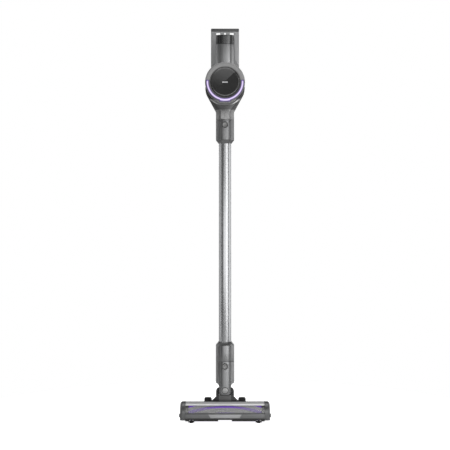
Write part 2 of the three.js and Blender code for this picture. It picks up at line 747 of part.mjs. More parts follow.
// Fan wheel: a hub with a back plate and curved blades, on its own shaft.
function motorImpeller() {
  let wheel = join(
    rod('y', 29, 24, 26, bodyCentre, 32),
    rod('y', 7, 13, 26, bodyCentre, 16),
    rod('y', 2.8, 5, 14, bodyCentre, 12),
  );
  const blades = 9;
  for (let i = 0; i < blades; i += 1) {
    const angle = (360 * i) / blades;
    const blade = sector('y', [14, BODY_Z - 4], 14, 15.6, 20, 150, 15, 24.5, 4)
      .translate([0, 0, -BODY_Z])
      .rotate([0, angle, 0])
      .translate([0, 0, BODY_Z]);
    wheel = join(wheel, blade);
  }
  return wheel.intersect(rod('y', 29, 0, 40, bodyCentre, 32));
}

function pleatedFilter() {
  const outline = [];
  const pleats = 18;
  for (let i = 0; i < pleats * 2; i += 1) {
    const angle = (Math.PI * i) / pleats;
    const radius = i % 2 ? 24 : 28;
    outline.push([radius * Math.cos(angle), BODY_Z + radius * Math.sin(angle)]);
  }
  return cut(prism('y', outline, 46, 84), rod('y', 19, 0, 80, bodyCentre, 24));
}

// Cyclone shroud: a cone with an end wall, round the filter.
function cycloneShroud() {
  const profile = [
    [36, CUP_FRONT], [32, 92], [0, 94], [0, 92], [30, 90], [33.5, CUP_FRONT + 2], [33.5, CUP_FRONT], [36, CUP_FRONT],
  ];
  const rows = 5;
  let shroud = turned('y', profile, bodyCentre, 36);
  for (let row = 0; row < rows; row += 1) {
    const angle = (180 * row) / rows;
    const slot = box([-1.6, 1.6], [54, 84], [-FAR, FAR]).rotate([0, angle, 0]).translate([0, 0, BODY_Z]);
    shroud = cut(shroud, slot);
  }
  return shroud;
}

function dustCup() {
  const inner = CUP_RADIUS - CUP_WALL;
  const profile = [
    [36.5, CUP_FRONT], [CUP_RADIUS, CUP_FRONT], [CUP_RADIUS, CUP_BACK], [inner, CUP_BACK],
    [inner, CUP_FRONT + CUP_WALL], [36.5, CUP_FRONT + CUP_WALL], [36.5, CUP_FRONT],
  ];
  let cup = turned('y', profile, bodyCentre, 48);
  eachSide((side) => {
    const lug = prism(
      'x',
      [[CUP_BACK - 14, BODY_Z - CUP_RADIUS + 1.5], [CUP_BACK - 14, BODY_Z - CUP_RADIUS - 1],
        [LID_HINGE_Y - 4, LID_HINGE_Z - 4], [LID_HINGE_Y + 3.5, LID_HINGE_Z - 4],
        [LID_HINGE_Y + 3.5, LID_HINGE_Z + 3], [CUP_BACK, LID_HINGE_Z + 4], [CUP_BACK, BODY_Z - CUP_RADIUS + 1.5]],
      ...spanX(side, 8.2, 13),
    );
    cup = join(cup, lug);
  });
  return cut(cup, rod('x', 1.9, -FAR, FAR, [LID_HINGE_Y, LID_HINGE_Z], 12));
}

function cupLid() {
  const front = CUP_BACK + GAP;
  const plate = turned('y', [
    [0, front], [CUP_RADIUS, front], [CUP_RADIUS, LID_BACK - 1.5], [CUP_RADIUS - 2, LID_BACK], [30, LID_BACK],
    [26, LID_BACK - 2], [0, LID_BACK - 2],
  ], bodyCentre, 48);
  const lug = prism(
    'x',
    [[front, BODY_Z - CUP_RADIUS + 6], [front, LID_HINGE_Z + 1.5], [LID_HINGE_Y - 3.5, LID_HINGE_Z - 3.5],
      [LID_HINGE_Y + 3.5, LID_HINGE_Z - 3.5], [LID_HINGE_Y + 3.5, LID_HINGE_Z + 3.5],
      [LID_BACK - 1, BODY_Z - CUP_RADIUS + 6]],
    -7.9,
    7.9,
  );
  return cut(join(plate, lug), rod('x', 1.9, -FAR, FAR, [LID_HINGE_Y, LID_HINGE_Z], 12));
}

function lidPin() {
  return rod('x', 1.6, -12.7, 12.7, [LID_HINGE_Y, LID_HINGE_Z], 12);
}

// Thumb slider on top of the cup that frees the lid.
function cupLatch() {
  const base = BODY_Z + CUP_RADIUS + 0.4;
  return prism('x', [[88, base], [104, base], [104, base + 2.6], [101, base + 3.2], [91, base + 1.4]], -7, 7);
}

const columnOutline = facetedOutline(
  COLLAR_HALF, (COLUMN_BACK - COLUMN_FRONT) / 2, 15, 9, (COLUMN_BACK + COLUMN_FRONT) / 2,
);

function handleColumn() {
  return cut(
    prism('z', columnOutline, BODY_Z + 40, COLUMN_TOP),
    rod('y', BODY_RADIUS + GAP, -FAR, FAR, bodyCentre, 64),
    box([-21, 21], [COLUMN_FRONT + 7, COLUMN_BACK - 7], [1017, COLUMN_TOP + 1]),
  );
}

function controlCap() {
  const whole = prism('z', columnOutline, COLUMN_TOP + GAP - 2, CAP_TOP, 2);
  return cut(
    whole,
    box([-FAR, FAR], [-FAR, FAR], [COLUMN_TOP - 10, COLUMN_TOP + GAP]),
    rod('z', POWER_BUTTON_RADIUS + GAP, CAP_TOP - 3.8, CAP_TOP + 1, [0, POWER_BUTTON_Y], 24),
  );
}

function powerButton() {
  const bottom = CAP_TOP - 2;
  const radius = POWER_BUTTON_RADIUS;
  return turned('z', [
    [0, bottom], [radius, bottom], [radius, CAP_TOP + 0.9], [radius - 1, CAP_TOP + 1.5], [0, CAP_TOP + 1.5],
  ], [0, POWER_BUTTON_Y], 24);
}

function controlBoard() {
  return box([-17, 17], [3, 4.6], [1020, 1062]);
}

function gripOutline() {
  const middle = (GRIP_BOTTOM + GRIP_TOP) / 2;
  const half = (GRIP_TOP - GRIP_BOTTOM) / 2;
  const sides = 20;
  const outline = [];
  for (let i = 0; i < sides; i += 1) {
    const angle = (2 * Math.PI * i) / sides;
    const squarer = (value) => Math.sign(value) * Math.abs(value) ** 0.8;
    outline.push([GRIP_HALF * squarer(Math.cos(angle)), middle + half * squarer(Math.sin(angle))]);
  }
  return outline;
}

const TRIGGER_FRONT = 31;
const TRIGGER_BACK = 53;

function handleGrip() {
  return cut(
    prism('y', gripOutline(), COLUMN_BACK + GAP, TAIL_FRONT - GAP),
    box([-6.6, 6.6], [TRIGGER_FRONT - GAP, TRIGGER_BACK + GAP], [GRIP_BOTTOM - 1, GRIP_BOTTOM + 9]),
  );
}

function trigger() {
  const top = GRIP_BOTTOM + 4;
  return prism(
    'x',
    [[TRIGGER_FRONT, top], [TRIGGER_FRONT, GRIP_BOTTOM - 3], [TRIGGER_FRONT + 3, GRIP_BOTTOM - 7],
      [TRIGGER_FRONT + 9, GRIP_BOTTOM - 6], [TRIGGER_BACK - 3, GRIP_BOTTOM - 5.5], [TRIGGER_BACK, GRIP_BOTTOM - 3],
      [TRIGGER_BACK, top]],
    -6.3,
    6.3,
  );
}

// Tail of the handle: a battery bay open at the back, with the hanging slots above it.
function tailFrame() {
  const top = TAIL_TOP - TAIL_CAP_HEIGHT - GAP;
  const whole = prism('y', [
    [-TAIL_HALF, TAIL_BOTTOM], [TAIL_HALF, TAIL_BOTTOM], [TAIL_HALF, top], [-TAIL_HALF, top],
  ], TAIL_FRONT, TAIL_BACK, 2);
  const slots = [[-2.85, 2.85], [14.2, 26], [-26, -14.2]].map(
    (span) => box(span, [TAIL_FRONT - 1, TAIL_BACK + 1], [1109, 1119]),
  );
  const recess = prism('y', [[-30, 1034], [30, 1034], [30, 1060], [-30, 1060]], TAIL_FRONT - 2, TAIL_FRONT + 2);
  const bay = box(
    [-BATTERY_HALF - 0.4, BATTERY_HALF + 0.4], [TAIL_FRONT + 3.4, TAIL_BACK + 1],
    [BATTERY_BOTTOM - 0.4, BATTERY_TOP + 0.4],
  );
  return cut(whole, bay, recess, ...slots);
}

function tailCap() {
  return prism('y', [
    [-TAIL_HALF, TAIL_TOP - TAIL_CAP_HEIGHT], [TAIL_HALF, TAIL_TOP - TAIL_CAP_HEIGHT],
    [TAIL_HALF, TAIL_TOP - 2], [TAIL_HALF - 2, TAIL_TOP], [-TAIL_HALF + 2, TAIL_TOP], [-TAIL_HALF, TAIL_TOP - 2],
  ], TAIL_FRONT, TAIL_BACK, 1.5);
}

function latchOutline(grow) {
  const half = 9 + grow;
  const low = 1030 - grow;
  const high = 1042 + grow;
  return [[-half, low], [half, low], [half, high], [-half, high]];
}

// The pack slides out of the back of the tail. Its latch button sits in a well near the bottom.
function batteryPack() {
  const outline = [
    [-BATTERY_HALF, BATTERY_BOTTOM], [BATTERY_HALF, BATTERY_BOTTOM],
    [BATTERY_HALF, BATTERY_TOP], [-BATTERY_HALF, BATTERY_TOP],
  ];
  const pack = prism('y', outline, TAIL_FRONT + 3.8, TAIL_BACK - 0.2, 1.2);
  return cut(pack, prism('y', latchOutline(GAP), TAIL_BACK - 5, TAIL_BACK + 1));
}

function batteryLatch() {
  return prism('y', latchOutline(0), TAIL_BACK - 2.5, TAIL_BACK + LATCH_PROUD, 0.6);
}

// ---------------------------------------------------------------- assembly

function addFloorHead() {
  addPiece('head_housing', headHousing(), 'darkShell');
  addPiece('sole_plate', solePlate(), 'blackPlastic');
  addPiece('front_bumper', frontBumper(), 'shell');
  addPiece('bumper_trim', bumperTrim(), 'silverTrim');
  addPiece('roller_cover', rollerCover(), 'smokedClear');
  addPiece('squeegee', squeegee(), 'rubber');
  addPiece('brush_core', brushCore(), 'blackPlastic');
  addPiece('brush_pile', brushPile(), 'pile');
  addPiece('brush_pulley', brushPulley(), 'blackPlastic');
  addPiece('brush_axle', rod('x', AXLE_RADIUS, -115, 115, rollerCentre, 16), 'steel');
  addPiece('brush_motor', brushMotor(), 'steel');
  addPiece('motor_pulley', motorPulley(), 'steel');
  addPiece('drive_belt', driveBelt(), 'rubber');
  eachSide((side, label) => {
    addPiece(`end_cap_${label}`, endCap(side), 'shell');
    addPiece(`side_roller_${label}`, sideRoller(side), 'rubber');
    addPiece(`front_roller_${label}`, frontRoller(side), 'blackPlastic');
    addPiece(`brush_bearing_${label}`, brushBearing(side), 'steel');
    addPiece(`wheel_hub_${label}`, wheelHub(side), 'blackPlastic');
    addPiece(`wheel_tyre_${label}`, wheelTyre(side), 'rubber');
  });
  addPiece('rear_axle', rearAxle(), 'steel');
}

function addNeck() {
  addPiece('neck_bracket', neckBracket(), 'darkShell');
  addPiece('tilt_pin', tiltPin(), 'steel');
  addPiece('neck_knuckle', neckKnuckle(), 'darkShell');
  addPiece('neck_socket', neckSocket(), 'shell');
  addPiece('swivel_pin', swivelPin(), 'shell');
  addPiece('socket_button', releaseButton(SOCKET_BUTTON_Z), 'shell');
}

function addWand() {
  addPiece('wand_lower_collar', wandLowerCollar(), 'shell');
  addPiece('wand_tube', wandTube(), 'anodised');
  addPiece('wand_cable_channel', wandCableChannel(), 'blackPlastic');
  addPiece('wand_upper_collar', wandUpperCollar(), 'shell');
  addPiece('wand_button', releaseButton(WAND_BUTTON_Z), 'shell');
}

function addHandUnit() {
  addPiece('inlet_neck', inletNeck(), 'shell');
  addPiece('motor_housing', motorHousing(), 'darkShell');
  addPiece('front_ring', frontRing(), 'lightRing');
  addPiece('display_disc', displayDisc(), 'blackGloss');
  addPiece('led_lens', lensSolid(0, RING_FRONT - 0.5, RING_FRONT + 3.7), 'lamp');
  addPiece('fan_motor', fanMotor(), 'steel');
  addPiece('motor_impeller', motorImpeller(), 'blackPlastic');
  addPiece('pleated_filter', pleatedFilter(), 'filterMedia');
  addPiece('cyclone_shroud', cycloneShroud(), 'silverTrim');
  addPiece('dust_cup', dustCup(), 'smokedClear');
  addPiece('cup_lid', cupLid(), 'darkShell');
  addPiece('lid_pin', lidPin(), 'steel');
  addPiece('cup_latch', cupLatch(), 'blackPlastic');
}

function addHandle() {
  addPiece('handle_column', handleColumn(), 'shell');
  addPiece('control_cap', controlCap(), 'blackGloss');
  addPiece('power_button', powerButton(), 'shell');
  addPiece('control_board', controlBoard(), 'circuit');
  addPiece('handle_grip', handleGrip(), 'shell');
  addPiece('trigger', trigger(), 'blackPlastic');
  addPiece('tail_frame', tailFrame(), 'shell');
  addPiece('tail_cap', tailCap(), 'blackPlastic');
  addPiece('battery_pack', batteryPack(), 'darkShell');
  addPiece('battery_latch', batteryLatch(), 'blackPlastic');
}

addFloorHead();
addNeck();
addWand();
addHandUnit();
addHandle();

export default vacuum;
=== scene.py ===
"""Cordless stick vacuum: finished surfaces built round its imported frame.

Metres, +Z up, the front of the vacuum faces -Y. Every surface is worked out with numpy
from the boxes of the frame's nodes, and rides on the body of the piece it stands for.
"""

import json
import math

import bmesh
import bpy
import numpy as np
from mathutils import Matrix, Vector

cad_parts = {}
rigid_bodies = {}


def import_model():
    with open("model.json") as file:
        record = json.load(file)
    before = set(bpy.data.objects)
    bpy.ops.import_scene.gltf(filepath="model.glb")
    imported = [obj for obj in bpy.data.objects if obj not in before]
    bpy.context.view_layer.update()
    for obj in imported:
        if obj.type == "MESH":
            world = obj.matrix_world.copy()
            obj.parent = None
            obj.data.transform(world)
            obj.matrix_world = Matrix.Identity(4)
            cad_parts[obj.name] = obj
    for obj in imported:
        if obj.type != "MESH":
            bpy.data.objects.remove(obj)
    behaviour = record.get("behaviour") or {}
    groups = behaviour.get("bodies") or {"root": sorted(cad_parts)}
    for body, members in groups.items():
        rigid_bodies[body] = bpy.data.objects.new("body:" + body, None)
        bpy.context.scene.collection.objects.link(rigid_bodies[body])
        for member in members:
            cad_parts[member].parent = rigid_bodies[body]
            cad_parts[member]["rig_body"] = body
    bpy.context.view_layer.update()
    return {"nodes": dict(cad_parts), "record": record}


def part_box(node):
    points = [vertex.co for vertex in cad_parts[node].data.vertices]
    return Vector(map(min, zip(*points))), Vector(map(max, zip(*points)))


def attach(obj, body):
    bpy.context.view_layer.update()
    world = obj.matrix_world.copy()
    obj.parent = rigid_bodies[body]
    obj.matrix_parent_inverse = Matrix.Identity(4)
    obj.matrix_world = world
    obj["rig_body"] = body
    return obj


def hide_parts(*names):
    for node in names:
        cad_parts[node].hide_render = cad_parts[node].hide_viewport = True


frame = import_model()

bl_info = {
    "name": "Stick Vacuum",
    "version": (1, 0, 0),
    "blender": (4, 5, 0),
    "location": "View3D > Sidebar > Stick Vacuum",
    "description": "Builds the finished surfaces of a cordless stick vacuum",
    "category": "Object",
}

MM = 0.001
LEAST_TURN = 1e-4  # radians between two neighbouring points of a bore


# ------------------------------------------------------------------ measures from the frame


def reach(node):
    """Lowest and highest corner of a node, as two arrays."""
    low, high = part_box(node)
    return np.array(low), np.array(high)


def middle(node):
    low, high = reach(node)
    return (low + high) / 2


def edges(node, axes):
    """Low and high place of a node along each of some axes, as one flat list."""
    return [corner["xyz".index(axis)] for axis in axes for corner in reach(node)]


def half_span(node, axis=0):
    """Half the length of a node along an axis: the radius of a turned one."""
    low, high = reach(node)
    return (high[axis] - low[axis]) / 2


def front_spot(node):
    """Middle of a node in the front view, as (x, z)."""
    return middle(node)[[0, 2]]


WAND_Y = middle("wand_tube")[1]
COLLAR_HALF = reach("neck_socket")[1][0]
COLLAR_BAND = 12.8 * MM
WAND = (0, WAND_Y)
BODY_X, BODY_Z = middle("display_disc")[0], middle("display_disc")[2]
BODY = (BODY_X, BODY_Z)
BODY_RADIUS = (reach("front_ring")[1][2] - reach("front_ring")[0][2]) / 2
ROLLER_Y, ROLLER_Z = middle("brush_pile")[1], middle("brush_pile")[2]
ROLLER = (ROLLER_Y, ROLLER_Z)

# collars and spigots of the wand, the neck socket and the inlet; a shut gap also parts
# the dust cup from its lid and the battery from its latch
SHUT_GAP = 0.3 * MM
COLLAR_FLAT = 12 * MM
COLLAR_CHAMFER = 10.2 * MM
COLLAR_NARROW = 17.9 * MM / COLLAR_HALF
SPIGOT_RADIUS = 16.6  # in millimetres, as path() takes it
# height above which the inlet's colour is darkened as painted shade
FLARE_SHADE_Z = reach("wand_upper_collar")[1][2] + 27 * MM

# bristle strips of the roller, in degrees from its top
STRIPE_START = 43.0
STRIPE_PITCH = 360.0 / 7
STRIPE_SWEEP = 4300.0  # for each square metre of distance from mid width
STRIPE_HALF = 9.0
STRIPE_FLARE = 400.0  # added to the half width for each square metre

CAP_SEAT = 2.2 * MM  # how far the pivot cap sits in the neck socket

# how densely turned pieces are divided
FINE, COARSE = 128, 72


# ------------------------------------------------------------------ shapes as arrays


def mm(*values):
    """Numbers or points given in millimetres, in metres."""
    return np.array(values, float) * MM


def path(*rows):
    """Outline from rows (u, du, v, dv): places u and v in metres, moved by du and dv millimetres."""
    rows = np.array(rows, float)
    return rows[:, ::2] + rows[:, 1::2] * MM


def oblong(u0, v0, u1, v1):
    """Four corners, from the lowest one round."""
    return [(u0, v0), (u1, v0), (u1, v1), (u0, v1)]


def rounded(corners, cut, steps=6):
    """Outline with soft corners.

    Each corner C gives way to the curve (1-t)^2 A + 2t(1-t) C + t^2 B, where A and B lie on
    its two edges, a length cut away from it.
    """
    corners = np.asarray(corners, float)
    cut = np.broadcast_to(np.asarray(cut, float), (len(corners),))[:, None]
    back = np.roll(corners, 1, 0) - corners
    ahead = np.roll(corners, -1, 0) - corners
    back_length = np.linalg.norm(back, axis=1, keepdims=True)
    ahead_length = np.linalg.norm(ahead, axis=1, keepdims=True)
    length = np.minimum(cut, 0.48 * np.minimum(back_length, ahead_length))
    start = corners + back / back_length * length
    end = corners + ahead / ahead_length * length
    t = np.linspace(0, 1, steps)[None, :, None]
    start, corners, end = start[:, None], corners[:, None], end[:, None]
    curve = (1 - t) ** 2 * start + 2 * t * (1 - t) * corners + t**2 * end
    return curve.reshape(-1, 2)


def softened(profile, cut, steps=5):
    """An open profile with every corner but its two ends made soft, as in rounded()."""
    profile = np.asarray(profile, float)
    loop = rounded(profile, cut, steps).reshape(len(profile), steps, 2)
    return np.concatenate([profile[:1], loop[1:-1].reshape(-1, 2), profile[-1:]])


def inset(outline, amount):
    """Outline moved in by amount along the mitre of each pair of edges."""
    outline = np.asarray(outline, float)
    x, y = outline.T
    amount = amount * np.sign((x * np.roll(y, -1) - np.roll(x, -1) * y).sum())
    edge = np.roll(outline, -1, 0) - outline
    edge /= np.maximum(np.linalg.norm(edge, axis=1, keepdims=True), 1e-9)
    normal = np.stack([-edge[:, 1], edge[:, 0]], 1)
    before = np.roll(normal, 1, 0)
    turn = 1 + (normal * before).sum(1, keepdims=True)
    return outline + amount * (normal + before) / np.maximum(turn, 0.35)


def arc(centre, radius, start, end, steps):
    """Points at equal angles, in degrees, on a circle."""
    angle = np.radians(np.linspace(start, end, steps))
    return np.stack([centre[0] + radius * np.cos(angle), centre[1] + radius * np.sin(angle)], 1)


def mirrored(right):
    """A closed outline from its right half, listed upwards: the left half is its reflection."""
    right = np.asarray(right, float)
    return np.concatenate([right, (right * [-1, 1])[::-1]])


def anticlockwise(outline):
    x, y = np.asarray(outline, float).T
    area = (x * np.roll(y, -1) - np.roll(x, -1) * y).sum()
    return np.asarray(outline, float) if area > 0 else np.asarray(outline, float)[::-1]


def laid(axis, outline, along):
    """Turns outline points (u, v) into space at the given place along the axis.

    (u, v) are (y, z) for axis x, (x, z) for axis y and (x, y) for axis z.
    """
    u, v = outline[..., 0], outline[..., 1]
    w = np.broadcast_to(along, u.shape)
    order = {"x": (w, u, v), "y": (u, w, v), "z": (u, v, w)}[axis]
    return np.stack(order, -1)


# ------------------------------------------------------------------ arrays into meshes


def grid_faces(rows, columns, wrap_rows=False):
    """Four-sided faces of a grid whose columns close on themselves."""
    row = np.arange(rows if wrap_rows else rows - 1)
    column = np.arange(columns)
    r, c = np.meshgrid(row, column, indexing="ij")
    r2, c2 = (r + 1) % rows, (c + 1) % columns
    corners = [r * columns + c, r * columns + c2, r2 * columns + c2, r2 * columns + c]
    return np.stack(corners, -1).reshape(-1, 4)


def build(name, points, faces):
    """Mesh object from points and faces, with doubles merged and every face outwards."""
    mesh = bpy.data.meshes.new(name)
    mesh.from_pydata(np.asarray(points).reshape(-1, 3).tolist(), [], faces)
    work = bmesh.new()
    work.from_mesh(mesh)
    bmesh.ops.remove_doubles(work, verts=work.verts, dist=1e-6)
    bmesh.ops.dissolve_degenerate(work, edges=work.edges, dist=1e-7)
    bmesh.ops.recalc_face_normals(work, faces=work.faces)
    work.to_mesh(mesh)
    work.free()
    piece = bpy.data.objects.new(name, mesh)
    bpy.context.scene.collection.objects.link(piece)
    return piece


def loft(name, rings, hollow=False):
    """Surface through a stack of rings, all of one point count.

    It is closed by a flat face at each end, or back onto its first ring when hollow.
    """
    rings = np.asarray(rings, float)
    rows, columns = rings.shape[:2]
    faces = grid_faces(rows, columns, hollow).tolist()
    if not hollow:
        faces.append(list(range(columns)))
        faces.append(list(range((rows - 1) * columns, rows * columns)))
    return build(name, rings, faces)


def slab(name, axis, outline, low, high, edge=0.6 * MM, steps=4, ends=(1, 1), share=1.0):
    """Outline carried along an axis, with a quarter-round edge at each chosen end.

    At angle a round the edge the outline is inset by edge (1 - sin a), and stands
    edge (1 - cos a) from the end. A share for each point makes its own inset smaller.
    """
    angle = np.linspace(0, np.pi / 2, steps)
    depth, shrink = edge * (1 - np.cos(angle)), edge * (1 - np.sin(angle))
    rings = []
    for end, place, way in ((0, low, 1), (1, high, -1)):
        stack = [
            laid(axis, inset(outline, s * share), place + way * d) for s, d in zip(shrink, depth)
        ]
        stack = stack if ends[end] else [laid(axis, outline, place)]
        rings += stack if way > 0 else stack[::-1]
    return loft(name, rings)


def upright(name, stations):
    """Solid bar along Z through (height, outline) pairs."""
    return loft(name, [laid("z", outline, height) for height, outline in stations])


def turned(name, axis, profile, centre, steps=96):
    """Profile of (radius, place along the axis) pairs turned about that axis."""
    profile = np.asarray(profile, float)
    angle = np.linspace(0, 2 * np.pi, steps, endpoint=False)
    circle = np.stack([np.cos(angle), np.sin(angle)], 1)
    outline = profile[:, :1, None] * circle[None] + np.asarray(centre, float)
    rings = laid(axis, outline, profile[:, 1:2])
    closed = profile[0, 0] > 1e-6
    faces = grid_faces(len(profile), steps, closed).tolist()
    return build(name, rings, faces)


def sleeve(name, stations, bore, low, high):
    """Hollow bar along Z: rings (height, outline) outside, a round bore inside.

    A bore point stands at its outline point's angle, or just past the bore point before it
    where the outline turns back.
    """
    outer = [laid("z", outline, z) for z, outline in stations]
    first, last = stations[0][1], stations[-1][1]
    centre = np.array([0, WAND_Y])

    def round_ring(outline, z):
        x, y = (outline - centre).T
        angle = np.unwrap(np.arctan2(y, x)) + LEAST_TURN * np.arange(len(x))
        angle = np.maximum.accumulate(angle)
        return laid("z", centre + bore * np.stack([np.cos(angle), np.sin(angle)], 1), z)

    return loft(name, outer + [round_ring(last, high), round_ring(first, low)], hollow=True)


def carve(piece, *tools, how="DIFFERENCE"):
    """Cuts tools away from a piece, or joins them to it, and deletes the tools."""
    for tool in tools:
        change = piece.modifiers.new("carve", "BOOLEAN")
        change.operation = how
        change.solver = "EXACT"
        change.object = tool
    view = bpy.context.evaluated_depsgraph_get()
    view.update()
    shaped = bpy.data.meshes.new_from_object(piece.evaluated_get(view))
    piece.modifiers.clear()
    piece.data = shaped
    for tool in tools:
        bpy.data.objects.remove(tool)
    if not len(shaped.polygons):
        raise RuntimeError(f"carving {piece.name} left nothing")
    return piece


def block(low, high):
    """Plain cutting box."""
    side = np.array(oblong(*low[1:], *high[1:]))
    return loft("tool", [laid("x", side, x) for x in (low[0], high[0])])


def drill(axis, radius, low, high, centre, steps=64):
    """Plain round cutting bar."""
    outline = arc(centre, radius, 0, 360 - 360 / steps, steps)
    return loft("tool", [laid(axis, outline, place) for place in (low, high)])


def complete(piece, node, finish, crease=32):
    """Gives a piece its finish and its body, and hides the node that it stands for. Edges sharper than
    crease, in degrees, stay sharp."""
    owner = frame["nodes"][node]["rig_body"]
    mesh = piece.data
    mesh.materials.clear()
    mesh.materials.append(FINISHES[finish])
    mesh.polygons.foreach_set("use_smooth", np.ones(len(mesh.polygons), bool))
    mesh.set_sharp_from_angle(angle=math.radians(crease))
    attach(piece, owner)
    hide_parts(node)
    return piece


SLOT_OF = {row["node"]: row["material_slot"] for row in frame["record"]["subparts"]}


# ------------------------------------------------------------------ finishes


class Wire:
    """A number on its way through a material's nodes. Arithmetic on it adds Math nodes."""

    def __init__(self, recipe, socket):
        self.recipe = recipe
        self.socket = socket

    def math(self, operation, *others):
        inputs = {0: self, **{i + 1: other for i, other in enumerate(others)}}
        return self.recipe.add("ShaderNodeMath", {"operation": operation}, inputs)

    def __add__(self, other):
        return self.math("ADD", other)

    __radd__ = __add__

    def __sub__(self, other):
        return self.math("SUBTRACT", other)

    def __rsub__(self, other):
        return (self * -1) + other

    def __mul__(self, other):
        return self.math("MULTIPLY", other)

    __rmul__ = __mul__

    def __truediv__(self, other):
        return self.math("DIVIDE", other)

    def __pow__(self, other):
        return self.math("POWER", other)

    def __gt__(self, other):
        return self.math("GREATER_THAN", other)

    def __abs__(self):
        return self.math("ABSOLUTE")

    def ramp(self, low, high):
        """0 below low, 1 above high, and a smooth rise between."""
        settings = {"interpolation_type": "SMOOTHSTEP"}
        return self.recipe.add("ShaderNodeMapRange", settings, {0: self, 1: low, 2: high})


class Recipe:
    """One procedural material: a Principled shader and the nodes that feed it."""

    def __init__(self, name, **constants):
        self.material = bpy.data.materials.new(name)
        self.material.use_nodes = True
        self.tree = self.material.node_tree
        self.shader = self.tree.nodes["Principled BSDF"]
        for socket, value in constants.items():
            self.shader.inputs[socket.replace("_", " ")].default_value = value
        self._place = None

    def add(self, kind, settings, inputs, output=0):
        """Any node: its type, its settings first, then its sockets by name or number."""
        node = self.tree.nodes.new(kind)
        for key, value in settings.items():
            setattr(node, key, value)
        for key, value in inputs.items():
            if isinstance(value, Wire):
                self.tree.links.new(value.socket, node.inputs[key])
            else:
                node.inputs[key].default_value = value
        return Wire(self, node.outputs[output])

    @property
    def place(self):
        """Object coordinates as a vector wire."""
        if self._place is None:
            self._place = self.add("ShaderNodeTexCoord", {}, {}, "Object")
        return self._place

    def axes(self):
        """The x, y and z of the place, in metres."""
        split = self.tree.nodes.new("ShaderNodeSeparateXYZ")
        self.tree.links.new(self.place.socket, split.inputs[0])
        return [Wire(self, split.outputs[i]) for i in range(3)]

    def noise(self, grain, detail=2.0, stretch=(1, 1, 1), rough=0.5):
        """Noise with a grain size in metres, drawn out along an axis where stretch is small."""
        scale = tuple(s / grain for s in stretch)
        settings = {"vector_type": "POINT"}
        at = self.add("ShaderNodeMapping", settings, {"Vector": self.place, "Scale": scale})
        values = {"Vector": at, "Scale": 1.0, "Detail": detail, "Roughness": rough}
        return self.add("ShaderNodeTexNoise", {}, values)

    def fleck(self):
        """Fine speckle of moulded plastic."""
        return self.noise(0.5 * MM, 3, rough=0.7)

    def polar(self, centre=BODY):
        """Distances across, up and outwards from a point of the front view."""
        x, _, z = self.axes()
        across, up = x - centre[0], z - centre[1]
        return across, up, (across * across + up * up) ** 0.5

    def lean(self, y, z):
        """Angle round the roller in degrees, 0 at its top and growing forwards."""
        return (y * -1 + ROLLER_Y).math("ARCTAN2", z - ROLLER_Z) * (180 / math.pi)

    def blend(self, factor, low, high):
        """Colour between two colours, each of them a colour or a wire."""
        low, high = [c if isinstance(c, Wire) else (*c, 1) for c in (low, high)]
        return self.add("ShaderNodeMix", {"data_type": "RGBA"}, {0: factor, 6: low, 7: high}, 2)

    def feed(self, socket, wire):
        self.tree.links.new(wire.socket, self.shader.inputs[socket])
        return self

    def bump(self, height, distance, strength=1.0):
        values = {"Height": height, "Distance": distance, "Strength": strength}
        return self.feed("Normal", self.add("ShaderNodeBump", {}, values))

    def moulded_skin(self, speck, roughness):
        """Uneven gloss and a fine orange-peel bump, both from one speckle."""
        self.feed("Roughness", (speck - 0.5) * 0.12 + roughness)
        return self.bump(speck, 0.02 * MM, 0.25).material


def grey(level, tint=0.0):
    """Neutral colour of a linear level, a little blue when tint is above nothing."""
    return (level * (1 - tint), level * (1 - tint / 3), level * (1 + tint))


def moulded(name, level, roughness, fleck=0.12, metallic=0.0):
    """Moulded plastic with metallic fleck: speckle in its colour, a fine orange-peel bump and
    broad, faint changes in its gloss where hands and cloths have been."""
    recipe = Recipe(name, Metallic=metallic)
    speck = recipe.fleck()
    cloud = recipe.noise(38 * MM, 2)
    shade = speck * 0.65 + cloud * 0.35
    low, high = grey(level * (1 - fleck), 0.01), grey(level * (1 + fleck), 0.01)
    recipe.feed("Base Color", recipe.blend(shade.ramp(0.3, 0.7), low, high))
    return recipe.moulded_skin(speck, (cloud - 0.5) * 0.14 + roughness)


def anodised(name, level, roughness, stretch):
    """Drawn and anodised aluminium: hair lines along its length, over broad soft clouds."""
    recipe = Recipe(name, Metallic=0.92)
    line = recipe.noise(0.35 * MM, 1, stretch)
    cloud = recipe.noise(60 * MM, 2)
    low, high = grey(level * 0.94, 0.015), grey(level * 1.05, 0.015)
    recipe.feed("Base Color", recipe.blend((line * 0.7 + cloud * 0.3).ramp(0.3, 0.7), low, high))
    recipe.feed("Roughness", (line - 0.5) * 0.08 + (cloud - 0.5) * 0.04 + roughness)
    recipe.bump(line, 0.002 * MM, 0.05)
    return recipe.material


def rubber(name, level=0.012):
    """Soft black rubber: dusty lighter patches and a pebbled skin."""
    recipe = Recipe(name, Specular_IOR_Level=0.25)
    pebble = recipe.noise(0.9 * MM, 4)
    dust = recipe.noise(12 * MM, 3)
    recipe.feed("Base Color", recipe.blend(dust.ramp(0.35, 0.75), grey(level), grey(level * 2.2)))
    recipe.feed("Roughness", pebble * 0.2 + dust * 0.15 + 0.52)
    recipe.bump(pebble, 0.06 * MM, 0.6)
    return recipe.material


